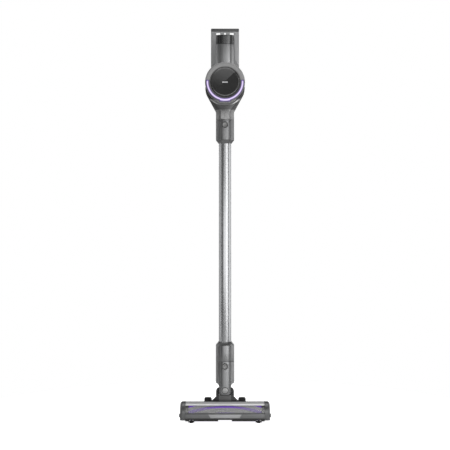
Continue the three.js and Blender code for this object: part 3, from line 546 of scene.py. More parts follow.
def flare_shade_plastic(colours):
    """Gunmetal on the collar, darkened with painted shade where the neck flares out to the round body, with a
    painted highlight as a pale lip close under the body's front ring."""
    recipe = Recipe("gunmetal_flare_painted_shade", Metallic=0.6)
    _, up, radius = recipe.polar()
    speck = recipe.fleck()
    # painted shade: the colour darkens above the flare height; painted highlight: a pale lip close under the
    # front ring
    flare = (up + BODY_Z - FLARE_SHADE_Z).ramp(0, 3 * MM)
    close = (radius * -1 + BODY_RADIUS + 8.5 * MM).ramp(0, 1.5 * MM)
    lip = close * (up * -1 - 44 * MM).ramp(0, 6 * MM)
    tone = recipe.blend(flare, grey(colours.shell * 1.25), grey(colours.shell * 0.42))
    tone = recipe.blend(lip, tone, grey(0.6))
    recipe.feed("Base Color", recipe.blend(speck.ramp(0.3, 0.7) * 0.08, tone, grey(0.5)))
    return recipe.moulded_skin(speck, flare * 0.06 + 0.34)


def button_plastic(name, level, node):
    """Gunmetal of a round front button or cap, with painted shade as a dark ring round its edge, standing for
    the shadow in the shut gap.
    """
    recipe = Recipe(name, Metallic=0.7)
    edge = half_span(node)
    radius = recipe.polar(front_spot(node))[2]
    speck = recipe.fleck()
    # painted shade: the outer part of the face darkens to near black, as the shade of the gap round it
    rim = (radius - edge * 0.84).ramp(0, edge * 0.05)
    tone = recipe.blend(speck.ramp(0.3, 0.7), grey(level * 0.94), grey(level * 1.06))
    recipe.feed("Base Color", recipe.blend(rim, tone, grey(0.012)))
    return recipe.moulded_skin(speck, rim * 0.15 + 0.34)


def bracket_plastic(colours):
    """Dark grey panel up the middle of the neck bracket, with black wings on each side of it."""
    recipe = Recipe("neck_bracket_plastic", Metallic=0.2)
    speck = recipe.fleck()
    wing = (abs(recipe.axes()[0]) - 17.2 * MM).ramp(-0.15 * MM, 0.15 * MM)
    tone = recipe.blend(wing, grey(colours.shell * 0.5), grey(0.012))
    recipe.feed("Base Color", recipe.blend(speck.ramp(0.3, 0.7) * 0.05, tone, grey(0.4)))
    return recipe.moulded_skin(speck, 0.4)


def ring_plastic(colours):
    """Front ring: light above the ends of the lit arc and dark below them, one clean edge apart, with a
    painted highlight as a paler chin under the arc, and a black step round the display."""
    recipe = Recipe("front_ring_plastic", Metallic=0.2)
    _, up, radius = recipe.polar()
    speck = recipe.fleck()
    upper = (up - 6.4 * MM).ramp(-0.2 * MM, 0.2 * MM)
    # painted highlight: a pale crescent at the ring's outer edge under the arc
    painted_highlight_chin = (up * -1 - 44 * MM).ramp(0, 6 * MM) * (radius - BODY_RADIUS + 1.2 * MM).ramp(0, MM)
    shade = recipe.blend(painted_highlight_chin, grey(colours.shell * 0.62), grey(0.6))
    shade = recipe.blend(upper, shade, grey(colours.light_ring))
    step = (radius * -1 + 43.4 * MM).ramp(0, 0.3 * MM)
    shade = recipe.blend(step, shade, grey(0.012))
    recipe.feed("Base Color", recipe.blend(speck.ramp(0.3, 0.7) * 0.12, shade, grey(0.9)))
    return recipe.moulded_skin(speck, 0.42)


def display_glass():
    """Polished black disc: a painted reflection that lightens its upper left and meets the black on a
    diagonal, a ring near its edge blended half way to the dark tone, and a three-bar charge gauge that glows
    white in the middle."""
    recipe = Recipe("display_glass", Coat_Weight=1.0, Coat_Roughness=0.03, Emission_Strength=1.0)
    across, up, radius = recipe.polar()
    # painted reflection: the upper left half is lighter, more so towards the top, as a lamp seen in the glass
    painted_reflection_side = (up - across * 0.95 - 2 * MM).ramp(-0.25 * MM, 0.25 * MM)
    reflection_fade = (up + across * 0.3).ramp(-32 * MM, 40 * MM)
    reflection_tone = recipe.blend(reflection_fade, grey(0.024), grey(0.13))
    tone = recipe.blend(painted_reflection_side, grey(0.03), reflection_tone)
    edge = (abs(radius - 38.6 * MM) * -1).ramp(-0.9 * MM, -0.3 * MM)
    recipe.feed("Base Color", recipe.blend(edge * 0.5, tone, grey(0.03)))
    recipe.feed("Roughness", recipe.noise(22 * MM, 3) * 0.08 + 0.05)
    pitch = 5.4 * MM
    wide = (abs(across) * -1).ramp(-8.1 * MM, -7.9 * MM)
    tall = (abs(up + 0.5 * MM) * -1).ramp(-1.35 * MM, -1.1 * MM)
    shifted = (across + 1.5 * pitch).math("MODULO", pitch)
    bar = (abs(shifted - pitch / 2) * -1).ramp(-2.2 * MM, -2.0 * MM)
    glow = recipe.blend(wide * tall * bar, (0, 0, 0), (0.8, 0.8, 0.82))
    return recipe.feed("Emission Color", glow).material


def light_guide(colours):
    """Lit arc: nearly white along its middle line, lavender beside it and deep violet at its
    edges and its two ends."""
    recipe = Recipe("light_guide", Roughness=0.3, Emission_Strength=0.95)
    across, up, radius = recipe.polar()
    tab = (abs(across) * -1).ramp(-14.6 * MM, -13.4 * MM) * (up * -1).ramp(40 * MM, 44 * MM)
    core_radius = tab * 0.9 * MM + 49.6 * MM
    off_core = abs(radius - core_radius) - tab * 0.5 * MM
    core = (off_core * -1).ramp(-3.1 * MM, -0.9 * MM)
    ends = (up * -1).ramp(-5.5 * MM, -0.5 * MM)
    ripple = recipe.noise(7 * MM, 2)
    recipe.feed("Base Color", recipe.blend(ripple, (0.03, 0.02, 0.07), (0.05, 0.03, 0.1)))
    glow = recipe.blend(core * ends, (0.075, 0.035, 0.22), tuple(colours.lamp))
    return recipe.feed("Emission Color", glow).material


def clear_cover(name, tint, body_alpha, band=True):
    """Clear polycarbonate.

    With a band, for the roller's cover, its top edge is painted white as a highlight, the strip just below is
    clearest and its front is hazy, to body_alpha. Without one it is an even smoke.
    """
    recipe = Recipe(name, IOR=1.5)
    haze = recipe.noise(9 * MM, 3)
    recipe.feed("Roughness", haze * 0.05 + 0.04)
    if band:
        lean = recipe.lean(*recipe.axes()[1:])
        # painted highlight: above about 40 degrees from the top the cover is nearly opaque white, greyer
        # towards its very top
        top = (lean * -1).ramp(-40.5, -39.0)
        front = lean.ramp(49.0, 62.0)
        painted_highlight = recipe.blend((lean - 29.0).ramp(0, 4), grey(0.62), grey(1.0))
        recipe.feed("Base Color", recipe.blend(top, grey(tint), painted_highlight))
        recipe.feed("Alpha", top * 0.88 + front * (body_alpha - 0.05) + 0.05)
    else:
        recipe.feed("Base Color", recipe.blend(haze, grey(tint), grey(tint * 1.2)))
        recipe.feed("Alpha", (haze - 0.5) * 0.06 + body_alpha)
    return recipe.material


def stripe_mask(recipe, softness):
    """1 on the bristle strips of the roller.

    A strip's angle from the top, in degrees, is STRIPE_START + STRIPE_SWEEP x^2, less a whole
    number of pitches: a shallow chevron that sweeps down towards both ends. The mask is 1 within
    STRIPE_HALF + STRIPE_FLARE x^2 degrees of a strip's middle.
    """
    x, y, z = recipe.axes()
    swept = recipe.lean(y, z) - x * x * STRIPE_SWEEP - STRIPE_START
    near = abs(swept.math("FLOORED_MODULO", STRIPE_PITCH) - STRIPE_PITCH / 2)
    away = near * -1 + STRIPE_PITCH / 2
    return (x * x * STRIPE_FLARE + STRIPE_HALF - away).ramp(-softness, softness)


def roller_pile(colours):
    """Plush pile: grey tufts with painted shade between their roots, and violet bristle strips whose roots
    take the painted shade colour.
    """
    recipe = Recipe("roller_pile", Sheen_Weight=0.15, Sheen_Roughness=0.5)
    tuft = recipe.noise(0.8 * MM, 2, (0.6, 1, 1), 0.6)
    mask = stripe_mask(recipe, 1.2)
    # painted shade: low points of the tuft noise, the hollows of its bump, are darker
    plush = recipe.blend(tuft.ramp(0.3, 0.65), grey(0.36), grey(0.62))
    bristle = recipe.blend(tuft.ramp(0.35, 0.6), colours.bristle_shadow, colours.bristle)
    recipe.feed("Base Color", recipe.blend(mask, plush, bristle))
    recipe.feed("Roughness", tuft * 0.1 + 0.82)
    recipe.bump(tuft, 0.5 * MM, 0.7)
    return recipe.material


def pleated_paper():
    """White filter paper with a soft fibre."""
    recipe = Recipe("pleated_paper")
    fibre = recipe.noise(0.7 * MM, 4)
    recipe.feed("Base Color", recipe.blend(fibre.ramp(0.3, 0.7), grey(0.55), grey(0.8)))
    recipe.feed("Roughness", fibre * 0.1 + 0.85)
    return recipe.bump(fibre, 0.1 * MM, 0.5).material


def mesh_metal(name, level):
    """Perforated cyclone sheet: a staggered grid of small dark holes in silver."""
    recipe = Recipe(name, Metallic=0.7)
    x, y, z = recipe.axes()
    turn = (x - BODY_X).math("ARCTAN2", z - BODY_Z) * (72 / math.pi)
    row = y / (2.2 * MM)
    odd = row.math("FLOOR").math("MODULO", 2.0) * 0.5
    du = (turn + odd).math("FRACT") - 0.5
    dv = row.math("FRACT") - 0.5
    hole = ((du * du + dv * dv) ** 0.5 * -1).ramp(-0.34, -0.26)
    recipe.feed("Base Color", recipe.blend(hole, grey(level), grey(0.015)))
    recipe.feed("Roughness", hole * 0.4 + 0.34)
    return recipe.bump(hole * -1, 0.4 * MM, 0.6).material


def circuit_green():
    """Circuit board: darker green with broken rows of lighter tracks."""
    recipe = Recipe("circuit_green")
    track = (recipe.axes()[2] / (1.6 * MM)).math("FRACT").ramp(0.44, 0.5)
    cloud = recipe.noise(5 * MM, 1)
    mask = track * cloud.ramp(0.45, 0.5)
    recipe.feed("Base Color", recipe.blend(mask, (0.01, 0.07, 0.03), (0.03, 0.2, 0.08)))
    recipe.feed("Roughness", cloud * 0.1 + 0.35)
    return recipe.bump(mask, 0.05 * MM).material


FINISHES = {}


def make_finishes(colours):
    """Every finish of the vacuum, by name."""
    FINISHES.update(
        shell=moulded("gunmetal_shell", colours.shell, 0.34, metallic=0.6),
        frame=moulded("frame_grey", colours.shell * 2.0, 0.4, metallic=0.2),
        shell_dark=moulded("dark_shell", colours.shell * 0.42, 0.42, metallic=0.3),
        black=moulded("black_plastic", 0.012, 0.42, 0.2),
        cap=moulded("black_metallic", colours.shell * 0.42, 0.28, metallic=0.95),
        # painted light: the column and the collars are lighter copies of the shell grey, brightened to make
        # up for light that reaches them less
        column=moulded("gunmetal_column_brightened", colours.shell * 1.3, 0.34, metallic=0.85),
        collar=moulded("gunmetal_collar_brightened", colours.shell * 1.1, 0.32, metallic=0.85),
        end_cap=moulded("end_cap_grey", colours.shell * 0.75, 0.36, metallic=0.6),
        bumper=moulded("bumper_grey", colours.shell * 0.85, 0.4, metallic=0.5),
        trim=moulded("silver_paint", 0.42, 0.34, 0.08, metallic=0.5),
        tube=anodised("anodised_tube", colours.tube, 0.27, (1, 1, 0.002)),
        steel=anodised("turned_steel", 0.5, 0.24, (0.002, 1, 1)),
        ring=ring_plastic(colours),
        flare=flare_shade_plastic(colours),
        bracket=bracket_plastic(colours),
        swivel_pin=button_plastic("pivot_cap_plastic", colours.shell * 1.5, "swivel_pin"),
        **{
            node: button_plastic(f"{node}_plastic", colours.shell, node)
            for node in ("socket_button", "wand_button")
        },
        glass=display_glass(),
        lamp=light_guide(colours),
        rubber=rubber("black_rubber"),
        cover=clear_cover("roller_cover_clear", 0.5, 0.36),
        cup=clear_cover("dust_cup_clear", 0.2, 0.42, band=False),
        pile=roller_pile(colours),
        paper=pleated_paper(),
        shroud=mesh_metal("cyclone_mesh", 0.4),
        circuit=circuit_green(),
    )


# ------------------------------------------------------------------ outlines of this vacuum


def banded_outline(half, depth, band, side, centre_y=WAND_Y, groove=2.4 * MM):
    """Section of the collars, the tube and the column.

    A bowed band runs down the front and the back; a groove on each side of it parts it from
    a facet that falls away to a flat side.
    """
    sag = depth * 0.1
    t = np.array([0.12, 0.36, 0.6, 0.82, 1.0])
    bow = np.stack([band * t, depth - sag * t**2], 1)
    shoulder = depth - sag
    slot = np.array([(0.15, -0.8), (0.55, -0.8), (0.9, -0.4)]) * groove + [band, shoulder]
    quarter = np.concatenate([bow, slot, path((half, -1.2, side, 1.6), (half, 0, side, 0))])
    right = np.concatenate([quarter, (quarter * [1, -1])[::-1]])
    return anticlockwise(rounded(mirrored(right), 0.45 * MM, 3) + [0, centre_y])


def collar_outline():
    """Section shared by the neck socket, the wand's collars and the inlet."""
    return banded_outline(COLLAR_HALF, COLLAR_HALF, COLLAR_BAND, COLLAR_FLAT)


def chamfer_tip(outline, end, way):
    """Three stations of a collar that narrows, over its chamfer, to its end at height end."""
    return [
        (end, drawn_in(outline, COLLAR_NARROW - 0.01)),
        (end + way * 0.5 * MM, drawn_in(outline, COLLAR_NARROW + 0.012)),
        (end + way * (COLLAR_CHAMFER - 0.3 * MM), drawn_in(outline, 0.99)),
    ]


def drawn_in(outline, factor):
    """Outline scaled towards the middle of its own extent."""
    centre = (outline.min(0) + outline.max(0)) / 2
    return centre + (outline - centre) * factor


def edge_stations(outline, low, high, edge=0.7 * MM, steps=4):
    """Stations (height, outline) of a bar whose two ends are quarter-round.

    At angle a round an end the section stands edge (1 - cos a) from it, and is scaled so that
    its widest place has come in by edge (1 - sin a).
    """
    half = np.ptp(outline, 0).max() / 2
    angle = np.linspace(0, np.pi / 2, steps)
    rise, factor = edge * (1 - np.cos(angle)), 1 - edge * (1 - np.sin(angle)) / half
    lower = [(low + r, drawn_in(outline, f)) for r, f in zip(rise, factor)]
    upper = [(high - r, drawn_in(outline, f)) for r, f in zip(rise, factor)][::-1]
    return lower + upper


# ------------------------------------------------------------------ sizes and colours


class VacuumColours(bpy.types.PropertyGroup):
    shell: bpy.props.FloatProperty(
        name="Shell grey", description="Linear grey level of the gunmetal plastic", default=0.2, min=0, max=1
    )
    light_ring: bpy.props.FloatProperty(
        name="Ring grey", description="Linear grey level of the ring above the lit arc",
        default=0.3, min=0, max=1,
    )
    tube: bpy.props.FloatProperty(
        name="Tube grey", description="Linear grey level of the anodised tube", default=0.42, min=0, max=1
    )
    lamp: bpy.props.FloatVectorProperty(
        name="Lamp", description="Colour at the core of the lit arc", default=(0.8, 0.68, 0.97),
        subtype="COLOR", size=3, min=0, max=1,
    )
    bristle: bpy.props.FloatVectorProperty(
        name="Bristle", description="Colour of the bristle strips", default=(0.3, 0.045, 1.0),
        subtype="COLOR", size=3, min=0, max=1,
    )
    # painted shade colour of the bristle strips' roots
    bristle_shadow: bpy.props.FloatVectorProperty(
        name="Bristle root", description="Colour between the bristles", default=(0.18, 0.02, 0.8),
        subtype="COLOR", size=3, min=0, max=1,
    )


class VacuumSizes(bpy.types.PropertyGroup):
    edge: bpy.props.FloatProperty(
        name="Edge radius", description="Radius of the small moulded edges", default=0.7 * MM,
        unit="LENGTH", min=0.1 * MM, max=2 * MM,
    )
    cap_round: bpy.props.FloatProperty(
        name="End cap radius", description="Radius of the end caps' outer edge", default=7 * MM,
        unit="LENGTH", min=MM, max=9 * MM,
    )
    tread_count: bpy.props.IntProperty(
        name="Tread grooves", description="Grooves round each rear tyre", default=3, min=0, max=6
    )
    lens_length: bpy.props.FloatProperty(
        name="Lens", description="Focal length of the camera, in millimetres", default=98.2, min=20, max=300
    )


# ------------------------------------------------------------------ operators


FLOOR_RADIUS = 0.8
DIM = 0.12  # what the floor and the world give as light, while the camera sees them white


class Maker:
    """Shared by the operators: runs make() and raises what goes wrong."""

    bl_options = {"REGISTER", "UNDO"}

    def execute(self, context):
        self.make(context.scene.vacuum_sizes, context.scene.vacuum_colours)
        return {"FINISHED"}


class VACUUM_OT_stage(Maker, bpy.types.Operator):
    """Pale floor, soft studio lights and the camera"""

    bl_idname = "vacuum.stage"
    bl_label = "Stage"

    def make(self, sizes, colours):
        self.floor()
        self.lights()
        self.camera(sizes)

    def floor(self):
        """Round sheet: one ring of points and the face inside it."""
        points = laid("z", arc((0, 0), FLOOR_RADIUS, 0, 355, 72), 0.0)
        mesh = bpy.data.meshes.new("studio_floor")
        mesh.from_pydata(points.tolist(), [], [list(range(len(points)))])
        floor = bpy.data.objects.new("studio_floor", mesh)
        bpy.context.scene.collection.objects.link(floor)
        paper = Recipe("studio_paper", Roughness=0.95, Emission_Strength=1.0)
        mottle = paper.noise(0.4, 2)
        paper.feed("Base Color", paper.blend(mottle, grey(0.84), grey(0.88)))
        seen = paper.add("ShaderNodeLightPath", {}, {}, "Is Camera Ray")
        paper.feed("Emission Color", paper.blend(seen, grey(DIM), grey(1.0)))
        mesh.materials.append(paper.material)

    def lights(self):
        """Soft key from the right front, two wide panels behind the camera, one panel on each
        side, one overhead and two from the rear, in a dim white world that looks white."""
        banks = [
            # name, place, aim, width, height, watts
            ("key", (1.35, -2.85, 0.7), (0, 0, 0.6), 1.0, 2.8, 30),
            ("front", (-0.1, -4.7, 0.35), (0, 0, 0.35), 3.0, 1.9, 36),
            ("upper", (0.25, -4.7, 2.1), (0, 0, 1.0), 2.2, 0.7, 8),
            ("right_side", (1.7, -0.2, 0.6), (0, 0, 0.6), 0.9, 2.2, 10),
            ("left_side", (-1.7, -0.1, 0.6), (0, 0, 0.6), 0.5, 2.2, 4.5),
            ("overhead", (0.0, 0.1, 2.4), (0, 0, 0.0), 1.6, 1.2, 14),
            ("right_rear", (1.7, 1.9, 1.2), (0, 0, 0.7), 0.6, 1.8, 12),
            ("left_rear", (-1.9, 1.7, 1.2), (0, 0, 0.7), 0.9, 1.8, 12),
        ]
        for name, place, aim, width, tall, power in banks:
            light = bpy.data.lights.new(name, "AREA")
            light.shape = "RECTANGLE"
            light.size, light.size_y, light.energy = width, tall, power
            lamp = bpy.data.objects.new(name, light)
            lamp.location = place
            lamp.rotation_euler = (Vector(aim) - Vector(place)).to_track_quat("-Z", "Y").to_euler()
            bpy.context.scene.collection.objects.link(lamp)
        world = bpy.data.worlds.new("studio")
        world.use_nodes = True
        nodes, links = world.node_tree.nodes, world.node_tree.links
        seen = nodes.new("ShaderNodeLightPath").outputs["Is Camera Ray"]
        level = nodes.new("ShaderNodeMapRange")
        level.inputs["To Min"].default_value = DIM
        level.inputs["To Max"].default_value = 1.0
        links.new(seen, level.inputs["Value"])
        nodes["Background"].inputs["Color"].default_value = (1, 1, 1, 1)
        links.new(level.outputs["Result"], nodes["Background"].inputs["Strength"])
        bpy.context.scene.world = world
        bpy.context.scene.view_settings.view_transform = "Standard"

    def camera(self, sizes):
        """Level view from 3.5 m in front of the wand, a little under half its height."""
        distance, level, sensor_width, farthest = 3.5, 0.5534, 36, 50
        data = bpy.data.cameras.new("camera")
        data.lens = sizes.lens_length
        data.sensor_width = sensor_width
        data.clip_end = farthest
        camera = bpy.data.objects.new("camera", data)
        camera.location = (0, WAND_Y - distance, level)
        camera.rotation_euler = (math.radians(90), 0, 0)
        bpy.context.scene.collection.objects.link(camera)
        bpy.context.scene.camera = camera


class VACUUM_OT_head_shell(Maker, bpy.types.Operator):
    """Floor head: housing, end caps, bumper with its trim, and clear cover"""

    bl_idname = "vacuum.head_shell"
    bl_label = "Head shell"

    def make(self, sizes, colours):
        self.housing()
        self.end_caps(sizes)
        self.bumper()
        self.trim()
        self.cover()

    def housing(self):
        """Side outline carried across the head, hollowed for the roller and the wheels."""
        left, right, front, back, bottom, top = edges("head_housing", "xyz")
        corners = path(
            (front, 0, bottom, 0), (back, 0, bottom, 0), (back, 0, bottom, 21.5), (back, -4, bottom, 27.5),
            (front, 52.7, top, -8.4), (front, 22.7, top, -0.9), (front, 0, top, 0),
        )
        outline = rounded(corners, mm(0.5, 2, 4, 8, 14, 12, 0.5))
        piece = slab("head_housing_shell", "x", outline, left, right, 0.5 * MM)
        wall, roller_way, wheel_way = 3.2 * MM, 25.6 * MM, 29 * MM
        hubs = middle("wheel_tyre_left")[1:]
        tools = [drill("x", roller_way, -right + wall, right - wall, ROLLER)]
        for node in ("wheel_tyre_left", "wheel_tyre_right"):
            near, far = edges(node, "x")
            tools.append(drill("x", wheel_way, near - 1.2 * MM, far + 1.5 * MM, hubs))
        # grooves that part the lid of the housing from its base
        groove_half = 0.4 * MM
        for x in (-66 * MM, 66 * MM):
            groove_low = (x - groove_half, front + 4 * MM, top - 30 * MM)
            tools.append(block(groove_low, (x + groove_half, back + MM, top + MM)))
        carve(piece, *tools)
        complete(piece, "head_housing", "shell")

    def end_caps(self, sizes):
        """Side outline of the head, its outer edge rounded over a large radius, with a mouth for
        the side roller and a seam above it."""
        for side, name in ((-1, "left"), (1, "right")):
            node = f"end_cap_{name}"
            left, right, front, back, bottom, top = edges(node, "xyz")
            crown = arc(ROLLER, top - ROLLER_Z, 90, 177, 22)
            lower = path(
                (front, 0, bottom, 4.5), (front, 3, bottom, 0), (back, -4, bottom, 0), (back, 0, bottom, 4),
                (back, 0, bottom, 29), (ROLLER_Y, 53, bottom, 40.5), (ROLLER_Y, 23, top, -0.8),
            )
            outline = np.concatenate([crown, rounded(lower, mm(2, 2, 2, 2, 14, 12, 10), 8)])
            lift = np.clip((outline[:, 1:] - bottom) / (16 * MM), 0, 1)
            share = 0.12 + 0.88 * lift**2 * (3 - 2 * lift)
            ends = (1, 0) if side < 0 else (0, 1)
            piece = slab(f"{node}_shell", "x", outline, left, right, sizes.cap_round, 9, ends, share)
            gap, mouth_half, line = 1.1 * MM, 6 * MM, 0.7 * MM
            roller_left, roller_right, roller_front, roller_back = edges(f"side_roller_{name}", "xy")
            mouth = middle(f"side_roller_{name}")[2]
            inner = (roller_left if side > 0 else roller_right) - side * gap
            outer = side * 140 * MM  # well outside the cap
            near, far = sorted((inner, outer))
            carve(piece, block(
                (near, roller_front - gap, mouth - mouth_half), (far, roller_back + gap, mouth + mouth_half),
            ))
            seam = mouth + 11.6 * MM
            carve(piece, block((min(0, outer), front - MM, seam), (max(0, outer), front + line, seam + line)))
            complete(piece, node, "end_cap")

    def bumper(self):
        """Strip along the front lip, with a recess for the trim plate."""
        left, right, front, back, bottom, top = edges("front_bumper", "xyz")
        corners = path(
            (front, 0.8, bottom, 0), (back, 0, bottom, 0), (back, 0, top, 0), (front, 2.6, top, 0),
            (front, 0, top, -3.2), (front, 0, bottom, 1.5),
        )
        outline = rounded(corners, mm(1, 0.3, 0.3, 1.2, 2.4, 1.2))
        piece = slab("front_bumper_strip", "x", outline, left, right, 0.4 * MM)
        floor = edges("bumper_trim", "y")[1] + 0.2 * MM
        carve(piece, slab("tool", "y", self.trim_outline(0.5 * MM), front - 2 * MM, floor, 0.05 * MM, 2))
        complete(piece, "front_bumper", "bumper")

    def trim_outline(self, grow):
        """Trapezoid of the trim plate in front view, wider at its top."""
        left, right, bottom, top = edges("bumper_trim", "xz")
        slant = 6 * MM - grow
        corners = [
            (left + slant, bottom - grow), (right - slant, bottom - grow),
            (right + grow, top + grow), (left - grow, top + grow),
        ]
        return rounded(corners, 1.2 * MM, 5)

    def trim(self):
        """Silver plate with five shallow slanted flutes across it."""
        front, back, bottom, top = edges("bumper_trim", "yz")
        piece = slab("bumper_trim_plate", "y", self.trim_outline(0), front, back, 0.4 * MM)
        tools = []
        for place in np.linspace(-26, 26, 5) * MM:
            foot, head = (bottom, 3), (top, -3)
            flute = path((place, -5, *foot), (place, -1, *foot), (place, 3, *head), (place, -1, *head))
            outline = rounded(flute, 0.6 * MM, 4)
            tools.append(slab("tool", "y", outline, front - MM, front + 0.6 * MM, 0.05 * MM, 2))
        carve(piece, *tools)
        complete(piece, "bumper_trim", "trim")

    def cover(self):
        """Thin clear shell: the part of a cylinder from the top of the roller to the bumper."""
        left, right = edges("roller_cover", "x")
        top = edges("roller_cover", "z")[1]
        outer, wall = top - ROLLER_Z, 2.4 * MM
        rim, lip = 90.4, 175.8
        outline = np.concatenate([arc(ROLLER, outer, rim, lip, 40), arc(ROLLER, outer - wall, lip, rim, 40)])
        piece = slab("roller_cover_clear", "x", outline, left, right, 0.35 * MM)
        complete(piece, "roller_cover", "cover")


class VACUUM_OT_roller(Maker, bpy.types.Operator):
    """Brush roller with its plush pile and bristle strips"""

    bl_idname = "vacuum.roller"
    bl_label = "Roller"

    def make(self, sizes, colours):
        """Grid of place across x and angle from the top.

        The radius is the pile's, plus the bristle height on the strips, plus tufts: the
        product of two sines with a slow twist, which stands the pile in small clumps.
        """
        left, right = edges("brush_pile", "x")
        columns, rows = 240, 150
        x = np.linspace(left, right, rows)[:, None]
        lean = np.linspace(0, 2 * np.pi, columns, endpoint=False)[None]
        swept = np.degrees(lean) - STRIPE_SWEEP * x**2 - STRIPE_START
        near = np.abs((swept + STRIPE_PITCH / 2) % STRIPE_PITCH - STRIPE_PITCH / 2)
        strip = 1 / (1 + np.exp((near - STRIPE_HALF - STRIPE_FLARE * x**2) / 0.6))
        tuft = np.sin(lean * 70 + x * 900) * np.sin(x * 2600 + 3 * np.sin(lean * 9))
        radius = half_span("brush_pile", 2) - 1.6 * MM + strip * 1.3 * MM + tuft * 0.22 * MM
        closing = np.minimum(1, np.minimum(x - left, right - x) / (1.2 * MM))
        radius = radius - (1 - closing) * 1.5 * MM
        outline = np.stack([ROLLER_Y - radius * np.sin(lean), ROLLER_Z + radius * np.cos(lean)], -1)
        piece = loft("roller_pile", laid("x", outline, x))
        carve(piece, drill("x", 16.9 * MM, left - MM, right + MM, ROLLER))
        complete(piece, "brush_pile", "pile", crease=60)


class VACUUM_OT_wheels(Maker, bpy.types.Operator):
    """Rear wheels, front rollers and side guide rollers"""

    bl_idname = "vacuum.wheels"
    bl_label = "Wheels"

    def make(self, sizes, colours):
        for side in ("left", "right"):
            self.tyre(f"wheel_tyre_{side}", sizes)
            self.hub(f"wheel_hub_{side}", side)
            self.small_roller(f"front_roller_{side}", "x", 0.8)
            self.small_roller(f"side_roller_{side}", "z", 1.2)

    def tyre(self, node, sizes):
        """Turned ring with a crowned tread and narrow grooves round it."""
        near, far = edges(node, "x")
        radius, bore, count = half_span(node, 2), 21.5 * MM, sizes.tread_count
        tread = [
            row for place in near + (far - near) * (np.arange(count) + 1) / (count + 1)
            for row in ((radius, 0, place, -0.9), (radius, -0.7, place, -0.45),
                        (radius, -0.7, place, 0.45), (radius, 0, place, 0.9))
        ]
        profile = path(
            (bore, 0, near, 1.2), (bore, 1.5, near, 0), (radius, -4, near, 0), (radius, 0, near, 3), *tread,
            (radius, 0, far, -3), (radius, -4, far, 0), (bore, 1.5, far, 0), (bore, 0, far, -1.2),
        )
        cuts = mm(0.5, 0.5, 0.5, 3, *[0.3] * len(tread), 3, 0.5, 0.5, 0.5)
        piece = turned(f"{node}_ring", "x", rounded(profile, cuts, 4), middle(node)[1:])
        complete(piece, node, "rubber")

    def hub(self, node, side):
        """Dished disc with six round windows and a small cap over the axle."""
        centre, radius = middle(node), half_span(node, 2)
        way = 1 if side == "right" else -1
        inner, outer = edges(node, "x")[::way]
        profile = path(
            (0, 0, inner, 0), (radius, 0, inner, 0), (radius, 0, outer, -way), (radius, -2.4, outer, -way),
            (radius, -4.2, outer, -way * 5), (0, 9, outer, -way * 5), (0, 7.4, outer, 0), (0, 0, outer, 0),
        )
        piece = turned(f"{node}_disc", "x", softened(profile, 0.9 * MM), centre[1:])
        span = sorted((outer - way * 9 * MM, outer + way * 5 * MM))
        window, ring = 2.6 * MM, 12.6 * MM
        carve(piece, *[
            drill("x", window, *span, (centre[1] + ring * math.cos(a), centre[2] + ring * math.sin(a)), 32)
            for a in np.radians(np.arange(6) * 60)
        ])
        complete(piece, node, "black")

    def small_roller(self, node, axis, soft):
        """Barrel with soft shoulders, soft millimetres wide, and a stub axle at each end."""
        across = [i for i in range(3) if i != "xyz".index(axis)]
        near, far = edges(node, axis)
        radius, stub, shoulder = half_span(node, across[0]), 1.4 * MM, 2.35 * MM
        inner, outer = near + shoulder, far - shoulder
        profile = path(
            (0, 0, near, 0), (stub, 0, near, 0), (stub, 0, inner, 0), (radius, -soft, inner, 0),
            (radius, 0, inner, soft), (radius, 0, outer, -soft), (radius, -soft, outer, 0),
            (stub, 0, outer, 0), (stub, 0, far, 0), (0, 0, far, 0),
        )
        piece = turned(f"{node}_barrel", axis, softened(profile, 0.4 * MM), middle(node)[across], 48)
        complete(piece, node, "rubber")


